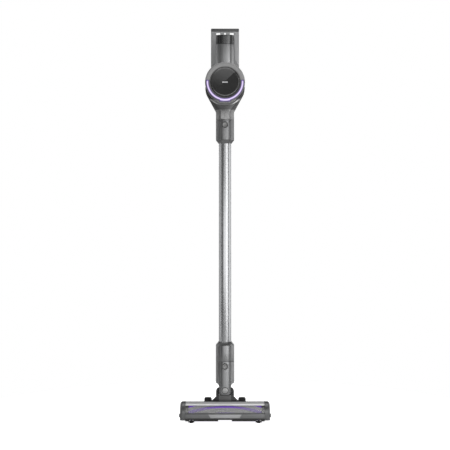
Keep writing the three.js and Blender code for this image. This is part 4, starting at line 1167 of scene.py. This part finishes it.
class VACUUM_OT_neck(Maker, bpy.types.Operator):
    """Neck: bracket with its ears, knuckle, socket and swivel cap"""

    bl_idname = "vacuum.neck"
    bl_label = "Neck"

    def make(self, sizes, colours):
        self.bracket()
        self.knuckle()
        self.socket(sizes)
        self.swivel_cap()

    def bracket(self):
        """Flared foot in front view, two coned ears on the tilt line, arms to the rear axle."""
        pin, axle = middle("tilt_pin"), middle("rear_axle")
        ear_inner, ear_outer = 16.9 * MM, COLLAR_HALF
        ear_radius = edges("neck_bracket", "z")[1] - pin[2]
        front, back = pin[1] - ear_radius, pin[1] + ear_radius
        flare = mirrored(mm((40, 42), (40, 49.5), (36, 51.5), (24, 63.5), (22.8, 68)))
        foot = slab("neck_bracket_body", "y", rounded(flare, 1.5 * MM, 5), front, back, 0.8 * MM)
        panel = mirrored(mm((29, 42), (29, 55), (22, 69)))
        parts = [slab("tool", "y", rounded(panel, 1.5 * MM, 5), front - 4 * MM, front + MM, 0.6 * MM)]
        cone = path(
            (0, 0, ear_inner, 0), (ear_radius, 0, ear_inner, 0), (ear_radius, 0, ear_inner, 1.6),
            (ear_radius, -3, ear_outer, -2.8), (ear_radius, -8.5, ear_outer, 0), (0, 0, ear_outer, 0),
        )
        stem = path(
            (ear_inner, 0, 0, 50), (0, 24, 0, 50), (ear_outer, 0, 0, 68), (ear_outer, 0, 0, 77),
            (ear_inner, 0, 0, 77),
        )
        for side in (-1, 1):
            parts.append(turned("tool", "x", softened(cone * [1, side], 2.2 * MM, 6), pin[1:], COARSE))
            parts.append(slab("tool", "y", rounded(stem * [side, 1], 2.4 * MM, 4), front, back, 1.2 * MM))
        arm = path(
            (back, -8, 0, 34), (back, -8, 0, 52), (back, 6, 0, 50), (axle[1], 7, 0, 34),
            (axle[1], 7, 0, 20.2), (axle[1], -7, 0, 20.2),
        )
        arm = rounded(arm, mm(1, 2, 8, 6, 6, 4))
        for span in (mm(-36.4, -29.2), mm(29.2, 36.4)):
            parts.append(slab("tool", "x", arm, *span, 0.8 * MM))
        carve(foot, *parts, how="UNION")
        house_front, house_back, _, top = edges("head_housing", "yz")
        under = path(
            (house_front, -9, 0, 0), (house_back, 0.4, 0, 0), (house_back, 0.4, 0, 31),
            (house_back, -4, 0, 37.2), (house_front, 52.7, top, -8.2), (house_front, 22.7, top, -0.7),
            (house_front, -9, top, 0.2),
        )
        carve(
            foot,
            drill("x", ear_radius + MM, -ear_inner, ear_inner, pin[1:]),
            block((-ear_inner, front - 0.6 * MM, pin[2]), (ear_inner, back + MM, pin[2] + 20 * MM)),
            block((-ear_inner, pin[1], 56 * MM), (ear_inner, back + 8 * MM, 95 * MM)),
            slab("tool", "x", under, -60 * MM, 60 * MM, 0.05 * MM, 2),
        )
        complete(foot, "neck_bracket", "bracket")

    def knuckle(self):
        """Drum on the tilt pin, joined to the short boss that carries the swivel."""
        left, right, front, _, bottom, top = edges("neck_knuckle", "xyz")
        pin, swivel = middle("tilt_pin"), front_spot("swivel_pin")
        radius, boss_radius, boss_back = pin[2] - bottom, top - swivel[1], pin[1] + 8 * MM
        drum = [(0, left), (radius, left), (radius, right), (0, right)]
        piece = turned("neck_knuckle_drum", "x", softened(drum, 1.2 * MM), pin[1:], 80)
        boss = [(0, front), (boss_radius, front), (boss_radius, boss_back), (0, boss_back)]
        carve(piece, turned("tool", "y", softened(boss, MM), swivel, 80), how="UNION")
        grooves = []
        for place in (-11, -4, 4, 11):
            near, far = (place * MM, -0.9), (place * MM, 0.9)
            profile = path(
                (radius, -0.8, *near), (radius, 2, *near), (radius, 2, *far), (radius, -0.8, *far),
            )
            grooves.append(turned("tool", "x", profile, pin[1:], 80))
        carve(piece, *grooves)
        complete(piece, "neck_knuckle", "black")

    def socket(self, sizes):
        """Collar section run down to the swivel, with its shoulders scooped away."""
        front, _, bottom, top = edges("neck_socket", "yz")
        swivel = (0, front_spot("swivel_pin")[1])
        boss_front = edges("neck_knuckle", "y")[0]
        shoulder, scoop, beside = 104.8 * MM, 10.3 * MM, COLLAR_HALF + 1.5 * MM
        piece = upright("neck_socket_shell", edge_stations(collar_outline(), bottom, top, sizes.edge))
        tools = [
            block((-40 * MM, boss_front - 0.3 * MM, bottom - MM), (40 * MM, 10 * MM, shoulder)),
            drill("z", 17.2 * MM, shoulder + 4 * MM, top + MM, WAND),
            drill("z", 11 * MM, shoulder - MM, shoulder + 5 * MM, WAND),
            drill("y", 4.3 * MM, front - 5 * MM, boss_front + 5 * MM, swivel),
            button_well("socket_button"),
            drill("y", 11.2 * MM, front - 5 * MM, front + CAP_SEAT, swivel, COARSE),
        ]
        outside = np.concatenate([
            path((0, 50, shoulder, 0.1), (beside, 0, shoulder, 0.1)),
            arc((beside, shoulder - scoop), scoop, 98, 180, 14),
            path((0, 16.8, 0, 81), (0, 15.2, 0, 75), (0, 10.5, bottom, -0.2), (0, 10, 0, 60), (0, 50, 0, 60)),
        ])
        for side in (-1, 1):
            tools.append(slab("tool", "y", outside * [side, 1], front - 10 * MM, 20 * MM, 0.05 * MM, 2))
        carve(piece, *tools)
        complete(piece, "neck_socket", "collar")

    def swivel_cap(self):
        """Pin with a low domed cap that sits in the socket's front."""
        front, back = edges("swivel_pin", "y")
        radius, seat = half_span("swivel_pin"), front + CAP_SEAT
        profile = path(
            (0, 0, front, 0), (radius * 0.55, 0, front, 0.15), (radius * 0.8, 0, front, 0.5),
            (radius, 0, front, 1.2), (radius, 0, seat, 0), (0, 4, seat, 0), (0, 4, back, 0), (0, 0, back, 0),
        )
        piece = turned("swivel_cap", "y", softened(profile, 0.5 * MM), front_spot("swivel_pin"), COARSE)
        complete(piece, "swivel_pin", "swivel_pin")


def button_well(node):
    """Cutting bar for the well that a release button sits in."""
    front, back = edges(node, "y")
    return drill("y", half_span(node) + 1.1 * MM, front - 5 * MM, back + 3.3 * MM, front_spot(node), COARSE)


class VACUUM_OT_buttons(Maker, bpy.types.Operator):
    """Release buttons, each with a raised rim and a small raised bar"""

    bl_idname = "vacuum.buttons"
    bl_label = "Release buttons"

    def make(self, sizes, colours):
        for node in ("socket_button", "wand_button"):
            self.button(node)

    def button(self, node):
        """Turned button: rim, groove and a slightly hollow middle, with one bar across it."""
        front, back = edges(node, "y")
        radius, spot = half_span(node), front_spot(node)
        profile = path(
            (0, 0, front, 0.7), (radius * 0.6, 0, front, 0.5), (radius * 0.68, 0, front, 0),
            (radius, -0.7, front, 0), (radius, 0, front, 0.7), (radius, 0, back, 0), (0, 0, back, 0),
        )
        piece = turned(f"{node}_cap", "y", softened(profile, 0.35 * MM), spot, COARSE)
        bar = rounded(mm(*oblong(-2.6, -0.7, 2.6, 0.7)), 0.65 * MM, 5) + spot
        carve(piece, slab("tool", "y", bar, front + 0.15 * MM, front + 2 * MM, 0.15 * MM), how="UNION")
        complete(piece, node, node)


class VACUUM_OT_wand(Maker, bpy.types.Operator):
    """Wand: grooved metal tube between two collars"""

    bl_idname = "vacuum.wand"
    bl_label = "Wand"

    def make(self, sizes, colours):
        self.lower_collar(sizes)
        self.upper_collar(sizes)
        self.tube()

    def lower_collar(self, sizes):
        """Collar section that narrows to the tube, over a round spigot."""
        bottom, top = edges("wand_lower_collar", "z")
        outline, start = collar_outline(), edges("neck_socket", "z")[1] + SHUT_GAP
        body = edge_stations(outline, start, top - COLLAR_CHAMFER, sizes.edge)[:-3]
        piece = upright("wand_lower_collar_shell", body + chamfer_tip(outline, top, -1)[::-1])
        carve(piece, drill("z", 15 * MM, start - MM, top + MM, WAND, 80))
        spigot = path(
            (0, 14.6, bottom, 0), (0, SPIGOT_RADIUS - 1, bottom, 0), (0, SPIGOT_RADIUS, bottom, 1),
            (0, SPIGOT_RADIUS, start, 2), (0, 14.6, start, 2),
        )
        carve(piece, turned("tool", "z", spigot, WAND, 80), how="UNION")
        complete(piece, "wand_lower_collar", "collar")

    def upper_collar(self, sizes):
        """Collar section that narrows to the tube, bored for the inlet's spigot."""
        bottom, top = edges("wand_upper_collar", "z")
        outline = collar_outline()
        body = edge_stations(outline, bottom + COLLAR_CHAMFER, top, sizes.edge)[3:]
        stations = chamfer_tip(outline, bottom, 1) + body
        piece = sleeve("wand_upper_collar_shell", stations, 17.2 * MM, bottom, top)
        carve(piece, button_well("wand_button"))
        complete(piece, "wand_upper_collar", "shell")

    def tube(self):
        """Drawn section with a bowed band front and back and a groove on each side of it."""
        _, half, bottom, top = edges("wand_tube", "xz")
        outline = banded_outline(half, half, 9.6 * MM, 8 * MM, groove=1.8 * MM)
        stations = edge_stations(outline, bottom, top, 0.3 * MM)
        piece = sleeve("wand_tube_drawn", stations, 15.6 * MM, bottom, top)
        complete(piece, "wand_tube", "tube")


def body_bar():
    """Cutting bar that clears the round body's place."""
    return drill("y", BODY_RADIUS + 0.3 * MM, -0.2, 0.2, BODY, FINE)


class VACUUM_OT_body(Maker, bpy.types.Operator):
    """Hand unit: inlet and V-shaped neck, round housing, front ring, display and lit arc"""

    bl_idname = "vacuum.body"
    bl_label = "Round body"

    def make(self, sizes, colours):
        self.inlet(sizes)
        self.housing()
        self.ring()
        self.display()
        self.lens()

    def inlet(self, sizes):
        """Stack of soft-cornered sections whose width grows from the collar to the body."""
        front, _, bottom, top = edges("inlet_neck", "yz")
        collar_bottom = edges("wand_upper_collar", "z")[1] + SHUT_GAP
        collar_top = collar_bottom + 23.7 * MM
        start = collar_top - 9 * MM
        knots = np.array([start, collar_top - 2 * MM, collar_top + MM, 0.885, 0.9, 0.915, 0.927, 0.936, top])
        widths = [COLLAR_HALF - 0.4 * MM, COLLAR_HALF, 54 * MM, 56 * MM, 56.3 * MM]
        width = np.interp(knots, [start, collar_top, 0.927, 0.938, top], widths)
        fine = np.linspace(start, top, 40)
        kernel = np.array([1, 2, 3, 2, 1]) / 9
        width = np.convolve(np.pad(np.interp(fine, knots, width), 2, mode="edge"), kernel, "valid")
        depth = np.interp(fine, [start, collar_top, 0.905, top], mm(25.4, 25.4, 22.5, 18.5))
        bevel = np.interp(fine, [start, collar_top, 0.92], mm(11, 10, 5))
        t, edge = np.linspace(-0.85, 0.85, 7), 3 * MM
        stations = []
        for height, w, d, b in zip(fine, width, depth, bevel):
            bow = np.stack([t * (w - b), -d + 2.4 * MM * t**2], 1)
            corners = [
                *bow, (w - b, -d + edge), (w, -d + b), (w, d - b), (w - b, d - edge),
                *bow[::-1] * [1, -1], (-w + b, d - edge), (-w, d - b), (-w, -d + b), (-w + b, -d + edge),
            ]
            stations.append((height, anticlockwise(rounded(corners, 1.6 * MM, 5) + WAND)))
        piece = upright("inlet_neck_shell", stations)
        collar = edge_stations(collar_outline(), collar_bottom, collar_top - 4 * MM, sizes.edge)
        band = mirrored(path((COLLAR_BAND, 0, collar_bottom, 2), (COLLAR_BAND, 0, collar_top, 3.5)))
        tongue = slab("tool", "y", rounded(band, 4 * MM, 8), front, WAND_Y - 15 * MM, 0.8 * MM)
        spigot = path(
            (0, 0, bottom, 0), (0, SPIGOT_RADIUS - 1, bottom, 0), (0, SPIGOT_RADIUS, bottom, 1),
            (0, SPIGOT_RADIUS, collar_bottom, 2), (0, 0, collar_bottom, 2),
        )
        carve(piece, upright("tool", collar), tongue, turned("tool", "z", spigot, WAND, 80), how="UNION")
        cove = path(
            (0, 0, front, -5), (0, 72, front, -5), (0, 66, front, 1.5), (0, 57.5, front, 9), (0, 0, front, 9),
        )
        duct = drill("z", 13.6 * MM, bottom - MM, BODY_Z, WAND)
        carve(piece, turned("tool", "y", cove, BODY, FINE), body_bar(), duct)
        complete(piece, "inlet_neck", "flare")

    def housing(self):
        """Turned drum behind the front ring: soft shoulder, air slots at both sides, open rear."""
        front, back = edges("motor_housing", "y")
        rim = BODY_RADIUS
        profile = path(
            (0, 24, front, 0), (rim, 0, front, 0), (rim, 0, back, -2), (rim, -1.5, back, 0),
            (0, 33, back, 0), (0, 33, back, -3), (rim, -3, back, -3), (rim, -3, front, 3),
            (0, 24, front, 3),
        )
        piece = turned("motor_housing_drum", "y", rounded(profile, 0.8 * MM, 4), BODY, FINE)
        upper = [a for a in np.radians(np.linspace(24, 156, 26)) if abs(math.cos(a)) >= 0.5]
        spots = [(rim * math.cos(a), rim * math.sin(a)) for a in upper]
        for a in np.radians(np.linspace(-24, 20, 9)):
            spots += [(side * rim * math.cos(a), rim * math.sin(a)) for side in (-1, 1)]
        slot, start, stop = 1.3 * MM, front + 22 * MM, back - 14 * MM
        carve(piece, *[drill("y", slot, start, stop, (BODY_X + u, BODY_Z + v), 16) for u, v in spots])
        complete(piece, "motor_housing", "shell")

    def ring(self):
        """Turned ring: a rolled outer lip, a flat, and a step down to the display."""
        front, back = edges("front_ring", "y")
        bore, rim = 41.2 * MM, BODY_RADIUS
        profile = path(
            (bore, 0, front, 1.6), (bore, 2.6, front, 1.4), (bore, 3.6, front, 0.2), (rim, -3, front, 0),
            (rim, -0.8, front, 1.2), (rim, 0, front, 4), (rim, 0, back, 0), (bore, 0, back, 0),
        )
        cuts = mm(0.3, 0.8, 0.8, 2, 1.6, 1.5, 0.3, 0.3)
        piece = turned("front_ring_band", "y", rounded(profile, cuts), BODY, 160)
        carve(piece, *[
            slab("tool", "y", outline, front - 2 * MM, front + 4 * MM, 0.05 * MM, 2)
            for outline in self.lens_outlines(0.35 * MM)
        ])
        complete(piece, "front_ring", "ring")

    def lens_outlines(self, grow):
        """Half ring and its tab, as two outlines, each grown outwards."""
        outer = half_span("led_lens") + grow
        inner = outer - 7 * MM - 2 * grow
        extra = 6.5 + math.degrees(grow / outer)
        half_ring = np.concatenate([
            arc(BODY, outer, 180 - extra, 360 + extra, 90), arc(BODY, inner, 360 + extra, 180 - extra, 90),
        ])
        half, bottom = 14.4 * MM + grow, edges("led_lens", "z")[0] - grow
        tab = path((-half, 0, bottom, 0), (half, 0, bottom, 0), (half, 2, bottom, 4), (-half, -2, bottom, 4))
        return half_ring, rounded(tab, 1.2 * MM, 5) + [BODY_X, 0]

    def display(self):
        """Turned disc, its face dished by 0.4 mm, with a polished bevel round it."""
        front, back = edges("display_disc", "y")
        radius = half_span("display_disc")
        r = np.linspace(0, radius - 2 * MM, 10)
        dish = front + 0.4 * MM * (1 - (r / radius) ** 2)
        rim = path((radius, -0.6, front, 1.1), (radius, 0, front, 2), (radius, 0, back, 0), (0, 0, back, 0))
        profile = np.concatenate([np.stack([r, dish], 1), rim])
        piece = turned("display_face", "y", softened(profile, 0.5 * MM, 4), BODY, FINE)
        complete(piece, "display_disc", "glass", crease=25)

    def lens(self):
        """Half ring with its tab at the bottom."""
        front, back = edges("led_lens", "y")
        half_ring, tab = self.lens_outlines(0)
        piece = slab("light_arc", "y", half_ring, front, back, 0.5 * MM)
        carve(piece, slab("tool", "y", tab, front, back, 0.5 * MM), how="UNION")
        complete(piece, "led_lens", "lamp")


class VACUUM_OT_cup(Maker, bpy.types.Operator):
    """Dust cup with its shroud, filter, lid and latch"""

    bl_idname = "vacuum.cup"
    bl_label = "Dust cup"

    def make(self, sizes, colours):
        self.cup()
        self.lid()
        self.shroud()
        self.latch()

    def cup(self):
        """Clear turned wall with a thicker rim at each end, and the two lugs of the lid's hinge."""
        front, back = edges("dust_cup", "y")[0], edges("cup_lid", "y")[0] - SHUT_GAP
        radius, pin = half_span("dust_cup"), middle("lid_pin")
        under = BODY_Z - radius
        profile = path(
            (0, 36.5, front, 0), (radius, 0, front, 0), (radius, 0, front, 5), (radius, -0.7, front, 5.6),
            (radius, -0.7, back, -7), (radius, 0, back, -6.4), (radius, 0, back, 0), (radius, -2.2, back, 0),
            (radius, -2.2, front, 2.2), (0, 36.5, front, 2.2),
        )
        piece = turned("dust_cup_wall", "y", rounded(profile, 0.4 * MM, 4), BODY, FINE)
        lug = path(
            (back, -14, under, 1.6), (back, -14, under, -1), (pin[1], -4, pin[2], -3.9),
            (pin[1], 3.5, pin[2], -3.9), (pin[1], 3.5, pin[2], 3), (back, 0, pin[2], 4),
            (back, 0, under, 1.6),
        )
        outline = rounded(lug, mm(3.4, 3.4, 3, 3, 3, 1, 0.5), 5)
        lugs = [slab("tool", "x", outline, *span, 0.4 * MM) for span in (mm(-13, -8.2), mm(8.2, 13))]
        carve(piece, *lugs, how="UNION")
        complete(piece, "dust_cup", "cup")

    def lid(self):
        """Turned plate with a rolled edge, a raised ring and six ribs, and one hinge lug."""
        front = edges("cup_lid", "y")[0]
        back = front + 4.5 * MM
        radius, pin = half_span("cup_lid"), middle("lid_pin")
        profile = path(
            (0, 0, front, 0), (radius, -3, front, 0), (radius, 0, front, 1), (radius, 0, back, -1.6),
            (radius, -2.4, back, 0), (0, 44, back, 0), (0, 42.5, back, -1.5), (0, 26, back, -1.5),
            (0, 24.5, back, 0), (0, 20, back, 0), (0, 18.5, back, -1.5), (0, 0, back, -1.5),
        )
        piece = turned("cup_lid_plate", "y", softened(profile, 0.6 * MM), BODY, FINE)
        spoke, parts = mm(*oblong(25, -1.2, 43.5, 1.2)), []
        for a in np.radians(np.arange(6) * 60 + 30):
            turn = np.array([[math.cos(a), math.sin(a)], [-math.sin(a), math.cos(a)]])
            parts.append(slab("tool", "y", spoke @ turn + BODY, back - 2 * MM, back - 0.3 * MM, 0.4 * MM, 3))
        under = BODY_Z - radius
        lug = path(
            (front, 0, under, 6), (front, 0, pin[2], 1.5), (pin[1], -3.4, pin[2], -3.4),
            (pin[1], 3.4, pin[2], -3.4), (pin[1], 3.4, pin[2], 3.4), (back, -1, under, 6),
        )
        lug = rounded(lug, mm(0.5, 1, 2.4, 2.4, 2.4, 1), 5)
        carve(piece, *parts, slab("tool", "x", lug, -7.8 * MM, 7.8 * MM, 0.4 * MM), how="UNION")
        complete(piece, "cup_lid", "shell_dark")

    def shroud(self):
        """Cone of perforated sheet with a solid lip and a domed end."""
        front, back = edges("cyclone_shroud", "y")
        radius = half_span("cyclone_shroud")
        profile = path(
            (radius, -2.5, front, 0), (radius, 0, front, 0), (radius, -1, front, 20), (radius, -4, back, -5),
            (radius, -8, back, -1), (0, 0, back, 0), (0, 0, back, -2), (radius, -7, back, -5),
            (radius, -4.5, front, 20),
        )
        profile = np.concatenate([softened(profile[:6], 1.5 * MM), profile[6:], profile[:1]])
        complete(turned("cyclone_shroud_cone", "y", profile, BODY), "cyclone_shroud", "shroud")

    def latch(self):
        """Thumb slider with a raised rear grip."""
        left, right, front, back, bottom, top = edges("cup_latch", "xyz")
        side = path(
            (front, 0, bottom, 0), (back, 0, bottom, 0), (back, 0, top, -0.7), (back, -3, top, 0),
            (back, -5, top, -1.2), (front, 4, bottom, 1.5),
        )
        piece = slab("cup_latch_slider", "x", rounded(side, 0.6 * MM, 5), left, right, 0.2 * MM)
        complete(piece, "cup_latch", "black")


class VACUUM_OT_handle(Maker, bpy.types.Operator):
    """Handle: column, black cap with its button, grip and trigger"""

    bl_idname = "vacuum.handle"
    bl_label = "Handle"

    def make(self, sizes, colours):
        half = half_span("handle_column")
        depth, centre_y = half_span("handle_column", 1), middle("handle_column")[1]
        outline = banded_outline(half, depth, 15 * MM, 9 * MM, centre_y)
        self.column(outline, sizes)
        self.cap(outline)
        self.button()
        self.grip()
        self.trigger()

    def column(self, outline, sizes):
        """Banded section, cut to the round of the body at its foot."""
        bottom, top = edges("handle_column", "z")
        piece = upright("handle_column_shell", edge_stations(outline, bottom - 8 * MM, top, sizes.edge))
        carve(piece, body_bar())
        complete(piece, "handle_column", "column")

    def cap(self, outline):
        """The column's section carried on in dark metallic plastic, with a soft top and a button well."""
        bottom, top = edges("control_cap", "z")
        edge, draw = 2.2 * MM, 0.05
        stations = [(bottom, drawn_in(outline, 0.99)), (bottom + 0.3 * MM, outline)]
        for a in np.linspace(0, np.pi / 2, 7):
            section = drawn_in(outline, 1 - draw * (1 - math.cos(a)))
            stations.append((top - edge + edge * math.sin(a), section))
        piece = upright("control_cap_shell", stations)
        well = half_span("power_button") + 0.35 * MM
        carve(piece, drill("z", well, top - 3.8 * MM, top + 3 * MM, middle("power_button")[:2], COARSE))
        complete(piece, "control_cap", "cap")

    def button(self):
        """Round button with a dished top and a raised rim."""
        bottom, top = edges("power_button", "z")
        radius = half_span("power_button")
        profile = path(
            (0, 0, bottom, 0), (radius, 0, bottom, 0), (radius, 0, top, -0.6), (radius, -0.7, top, 0),
            (radius, -1.6, top, 0), (radius, -2.4, top, -0.5), (0, 0, top, -0.8),
        )
        spot = middle("power_button")[:2]
        piece = turned("power_button_cap", "z", softened(profile, 0.4 * MM), spot, COARSE)
        complete(piece, "power_button", "shell")

    def grip(self):
        """Superellipse sections along the grip.

        Each section is the cosine and sine of an angle, raised to a power below one, times the
        half width and half height. These flare by e^-(t / 0.07)^2 where the grip meets the column
        and the tail, and the underside waves gently along t under the fingers.
        """
        front, back, bottom, _ = edges("handle_grip", "yz")
        centre = middle("handle_grip")
        columns, rows = 72, 64
        t = np.linspace(0, 1, rows)[:, None]
        angle = np.linspace(0, 2 * np.pi, columns, endpoint=False)[None]
        squarer = lambda value: np.sign(value) * np.abs(value) ** 0.78
        flare = np.exp(-((t / 0.07) ** 2)) + np.exp(-(((1 - t) / 0.07) ** 2))
        slim = 0.9 + 0.07 * flare
        wave = 0.6 * MM * np.cos(t * 2 * np.pi * 3.2) * np.clip(-np.sin(angle), 0, 1) ** 2 * (1 - flare)
        x = centre[0] + half_span("handle_grip") * slim * squarer(np.cos(angle))
        z = centre[2] + half_span("handle_grip", 2) * slim * squarer(np.sin(angle)) + wave
        y = np.broadcast_to(front + (back - front) * t, x.shape)
        piece = loft("handle_grip_body", np.stack([x, y, z], -1))
        low, high = reach("trigger")
        gap, room = 0.4 * MM, 4.6 * MM
        carve(piece, block((*low[:2] - gap, bottom - 3 * MM), (*high[:2] + gap, high[2] + room)))
        complete(piece, "handle_grip", "shell")

    def trigger(self):
        """Side outline of a finger-shaped lever, rounded across its width."""
        left, right, front, back, bottom, top = edges("trigger", "xyz")
        side = path(
            (front, 0, top, 0), (front, 0, top, -7), (front, 3, bottom, 0), (front, 9, bottom, 1.2),
            (back, -3, bottom, 1.4), (back, 0, bottom, 4), (back, 0, top, 0),
        )
        outline = rounded(side, mm(1.6, 3, 3, 4, 3, 3, 1.6))
        complete(slab("trigger_lever", "x", outline, left, right, 1.1 * MM, 6), "trigger", "black")


class VACUUM_OT_tail(Maker, bpy.types.Operator):
    """Tail: frame with its hanging slots, black cap, battery and latch"""

    bl_idname = "vacuum.tail"
    bl_label = "Tail"

    def make(self, sizes, colours):
        self.tail()
        self.cap()
        self.battery()
        self.latch()

    def tail(self):
        """Upright frame: recessed front whose lower corners run out to its sides, slots above."""
        left, right, front, back, bottom, top = edges("tail_frame", "xyz")
        outline = rounded(oblong(left, bottom, right, top), mm(4, 4, 1.2, 1.2))
        piece = slab("tail_frame_shell", "y", outline, front, back, 0.8 * MM, 5)
        recess = path(
            (right, 2, bottom, -1), (right, 2, bottom, 2.5), (0, 28.3, bottom, 23.6), (0, 28.3, top, -3.2),
        )
        recess = rounded(mirrored(recess), mm(0.5, 1, 4, 1.2, 1.2, 4, 1, 0.5), 5)
        low, high = reach("battery_pack")
        margin = 0.4 * MM
        tools = [
            slab("tool", "y", recess, front - 3 * MM, front + 2.4 * MM, 0.05 * MM, 2),
            block(low - margin, (high[0] + margin, back + 3 * MM, high[2] + margin)),
        ]
        carve(piece, *tools, *self.slots())
        complete(piece, "tail_frame", "frame")

    def slots(self):
        """Cutting bars of the three hanging slots, which rise towards the back."""
        front, back, _, top = edges("tail_frame", "yz")
        bars = []
        for near, far in ((-2.85, 2.85), (14.2, 26), (-26, -14.2)):
            rings = []
            for y, bottom, lid in ((front - 3 * MM, -15, -5), (back + 3 * MM, -11, 2.6)):
                outline = path(*[(0, u, top, v) for u, v in oblong(near, bottom, far, lid)])
                rings.append(laid("y", rounded(outline, 1.2 * MM, 5), y))
            bars.append(loft("tool", rings))
        return bars

    def cap(self):
        """Dark strip along the top edge, notched by the slots."""
        left, right, front, back, bottom, top = edges("tail_cap", "xyz")
        outline = rounded(oblong(left, bottom, right, top), mm(1.2, 1.2, 2.5, 2.5), 7)
        piece = slab("tail_cap_strip", "y", outline, front, back, 0.8 * MM, 5)
        carve(piece, *self.slots())
        complete(piece, "tail_cap", "shell_dark")

    def battery(self):
        """Block with soft rear edges, two grip hollows, four grooves and the latch's well."""
        left, right, front, back, bottom, top = edges("battery_pack", "xyz")
        outline = rounded(oblong(left, bottom, right, top), 2.2 * MM)
        piece = slab("battery_pack_case", "y", outline, front, back, 1.2 * MM, 5)
        latch_left, latch_right, latch_bottom, latch_top = edges("battery_latch", "xz")
        tools = [block(
            (latch_left - SHUT_GAP, back - 5 * MM, latch_bottom - SHUT_GAP),
            (latch_right + SHUT_GAP, back + MM, latch_top + SHUT_GAP),
        )]
        for side in (-1, 1):
            hollow = (side * (right - 9 * MM), back + 4.6 * MM)
            tools.append(drill("z", 7 * MM, top - 46 * MM, top - 22 * MM, hollow))
        for row in range(4):
            z = top - 8 * MM - row * 3 * MM
            tools.append(block((-14 * MM, back - 0.5 * MM, z), (14 * MM, back + MM, z + 1.2 * MM)))
        carve(piece, *tools)
        complete(piece, "battery_pack", "shell_dark")

    def latch(self):
        """Small pad with three raised ridges."""
        left, right, front, back, bottom, top = edges("battery_latch", "xyz")
        outline = rounded(oblong(left, bottom, right, top), 2 * MM)
        piece = slab("battery_latch_pad", "y", outline, front, back - 0.5 * MM, 0.5 * MM)
        ridges = []
        for row in range(3):
            z = bottom + (3.2 + 2.4 * row) * MM
            ridge = rounded(oblong(-6 * MM, z, 6 * MM, z + 0.9 * MM), 0.4 * MM, 4)
            ridges.append(slab("tool", "y", ridge, back - 2 * MM, back, 0.2 * MM, 3))
        carve(piece, *ridges, how="UNION")
        complete(piece, "battery_latch", "black")


class VACUUM_OT_inner_parts(Maker, bpy.types.Operator):
    """Finishes for the frame's own inner parts and sole"""

    bl_idname = "vacuum.inner_parts"
    bl_label = "Inner parts"

    by_slot = {
        "shell": "shell", "dark_shell": "shell_dark", "black_plastic": "black", "steel": "steel",
        "rubber": "rubber", "silver_trim": "trim", "filter_media": "paper", "circuit": "circuit",
    }

    def make(self, sizes, colours):
        for node in (
            "sole_plate", "squeegee", "brush_core", "brush_pulley", "brush_axle", "brush_motor",
            "motor_pulley", "drive_belt", "brush_bearing_left", "brush_bearing_right", "rear_axle",
            "tilt_pin", "wand_cable_channel", "fan_motor", "motor_impeller", "pleated_filter", "lid_pin",
            "control_board",
        ):
            part = frame["nodes"][node]
            part.data.materials.clear()
            part.data.materials.append(FINISHES[self.by_slot[SLOT_OF[node]]])


OPERATORS = (
    VACUUM_OT_stage, VACUUM_OT_head_shell, VACUUM_OT_roller, VACUUM_OT_wheels, VACUUM_OT_neck,
    VACUUM_OT_buttons, VACUUM_OT_wand, VACUUM_OT_body, VACUUM_OT_cup, VACUUM_OT_handle, VACUUM_OT_tail,
    VACUUM_OT_inner_parts,
)


class VACUUM_PT_panel(bpy.types.Panel):
    """Lists the vacuum's builders in the sidebar"""

    bl_label = "Stick Vacuum"
    bl_space_type = "VIEW_3D"
    bl_region_type = "UI"
    bl_category = "Stick Vacuum"

    def draw(self, context):
        for group in (context.scene.vacuum_sizes, context.scene.vacuum_colours):
            for key in group.bl_rna.properties.keys():
                if key not in {"rna_type", "name"}:
                    self.layout.prop(group, key)
        for operator in OPERATORS:
            self.layout.operator(operator.bl_idname)


CLASSES = (VacuumColours, VacuumSizes, *OPERATORS, VACUUM_PT_panel)


def register():
    for item in CLASSES:
        bpy.utils.register_class(item)
    bpy.types.Scene.vacuum_colours = bpy.props.PointerProperty(type=VacuumColours)
    bpy.types.Scene.vacuum_sizes = bpy.props.PointerProperty(type=VacuumSizes)


def unregister():
    del bpy.types.Scene.vacuum_sizes
    del bpy.types.Scene.vacuum_colours
    for item in reversed(CLASSES):
        bpy.utils.unregister_class(item)


def main():
    register()
    make_finishes(bpy.context.scene.vacuum_colours)
    for operator in OPERATORS:
        group, name = operator.bl_idname.split(".")
        getattr(getattr(bpy.ops, group), name)()


if __name__ == "__main__":
    main()
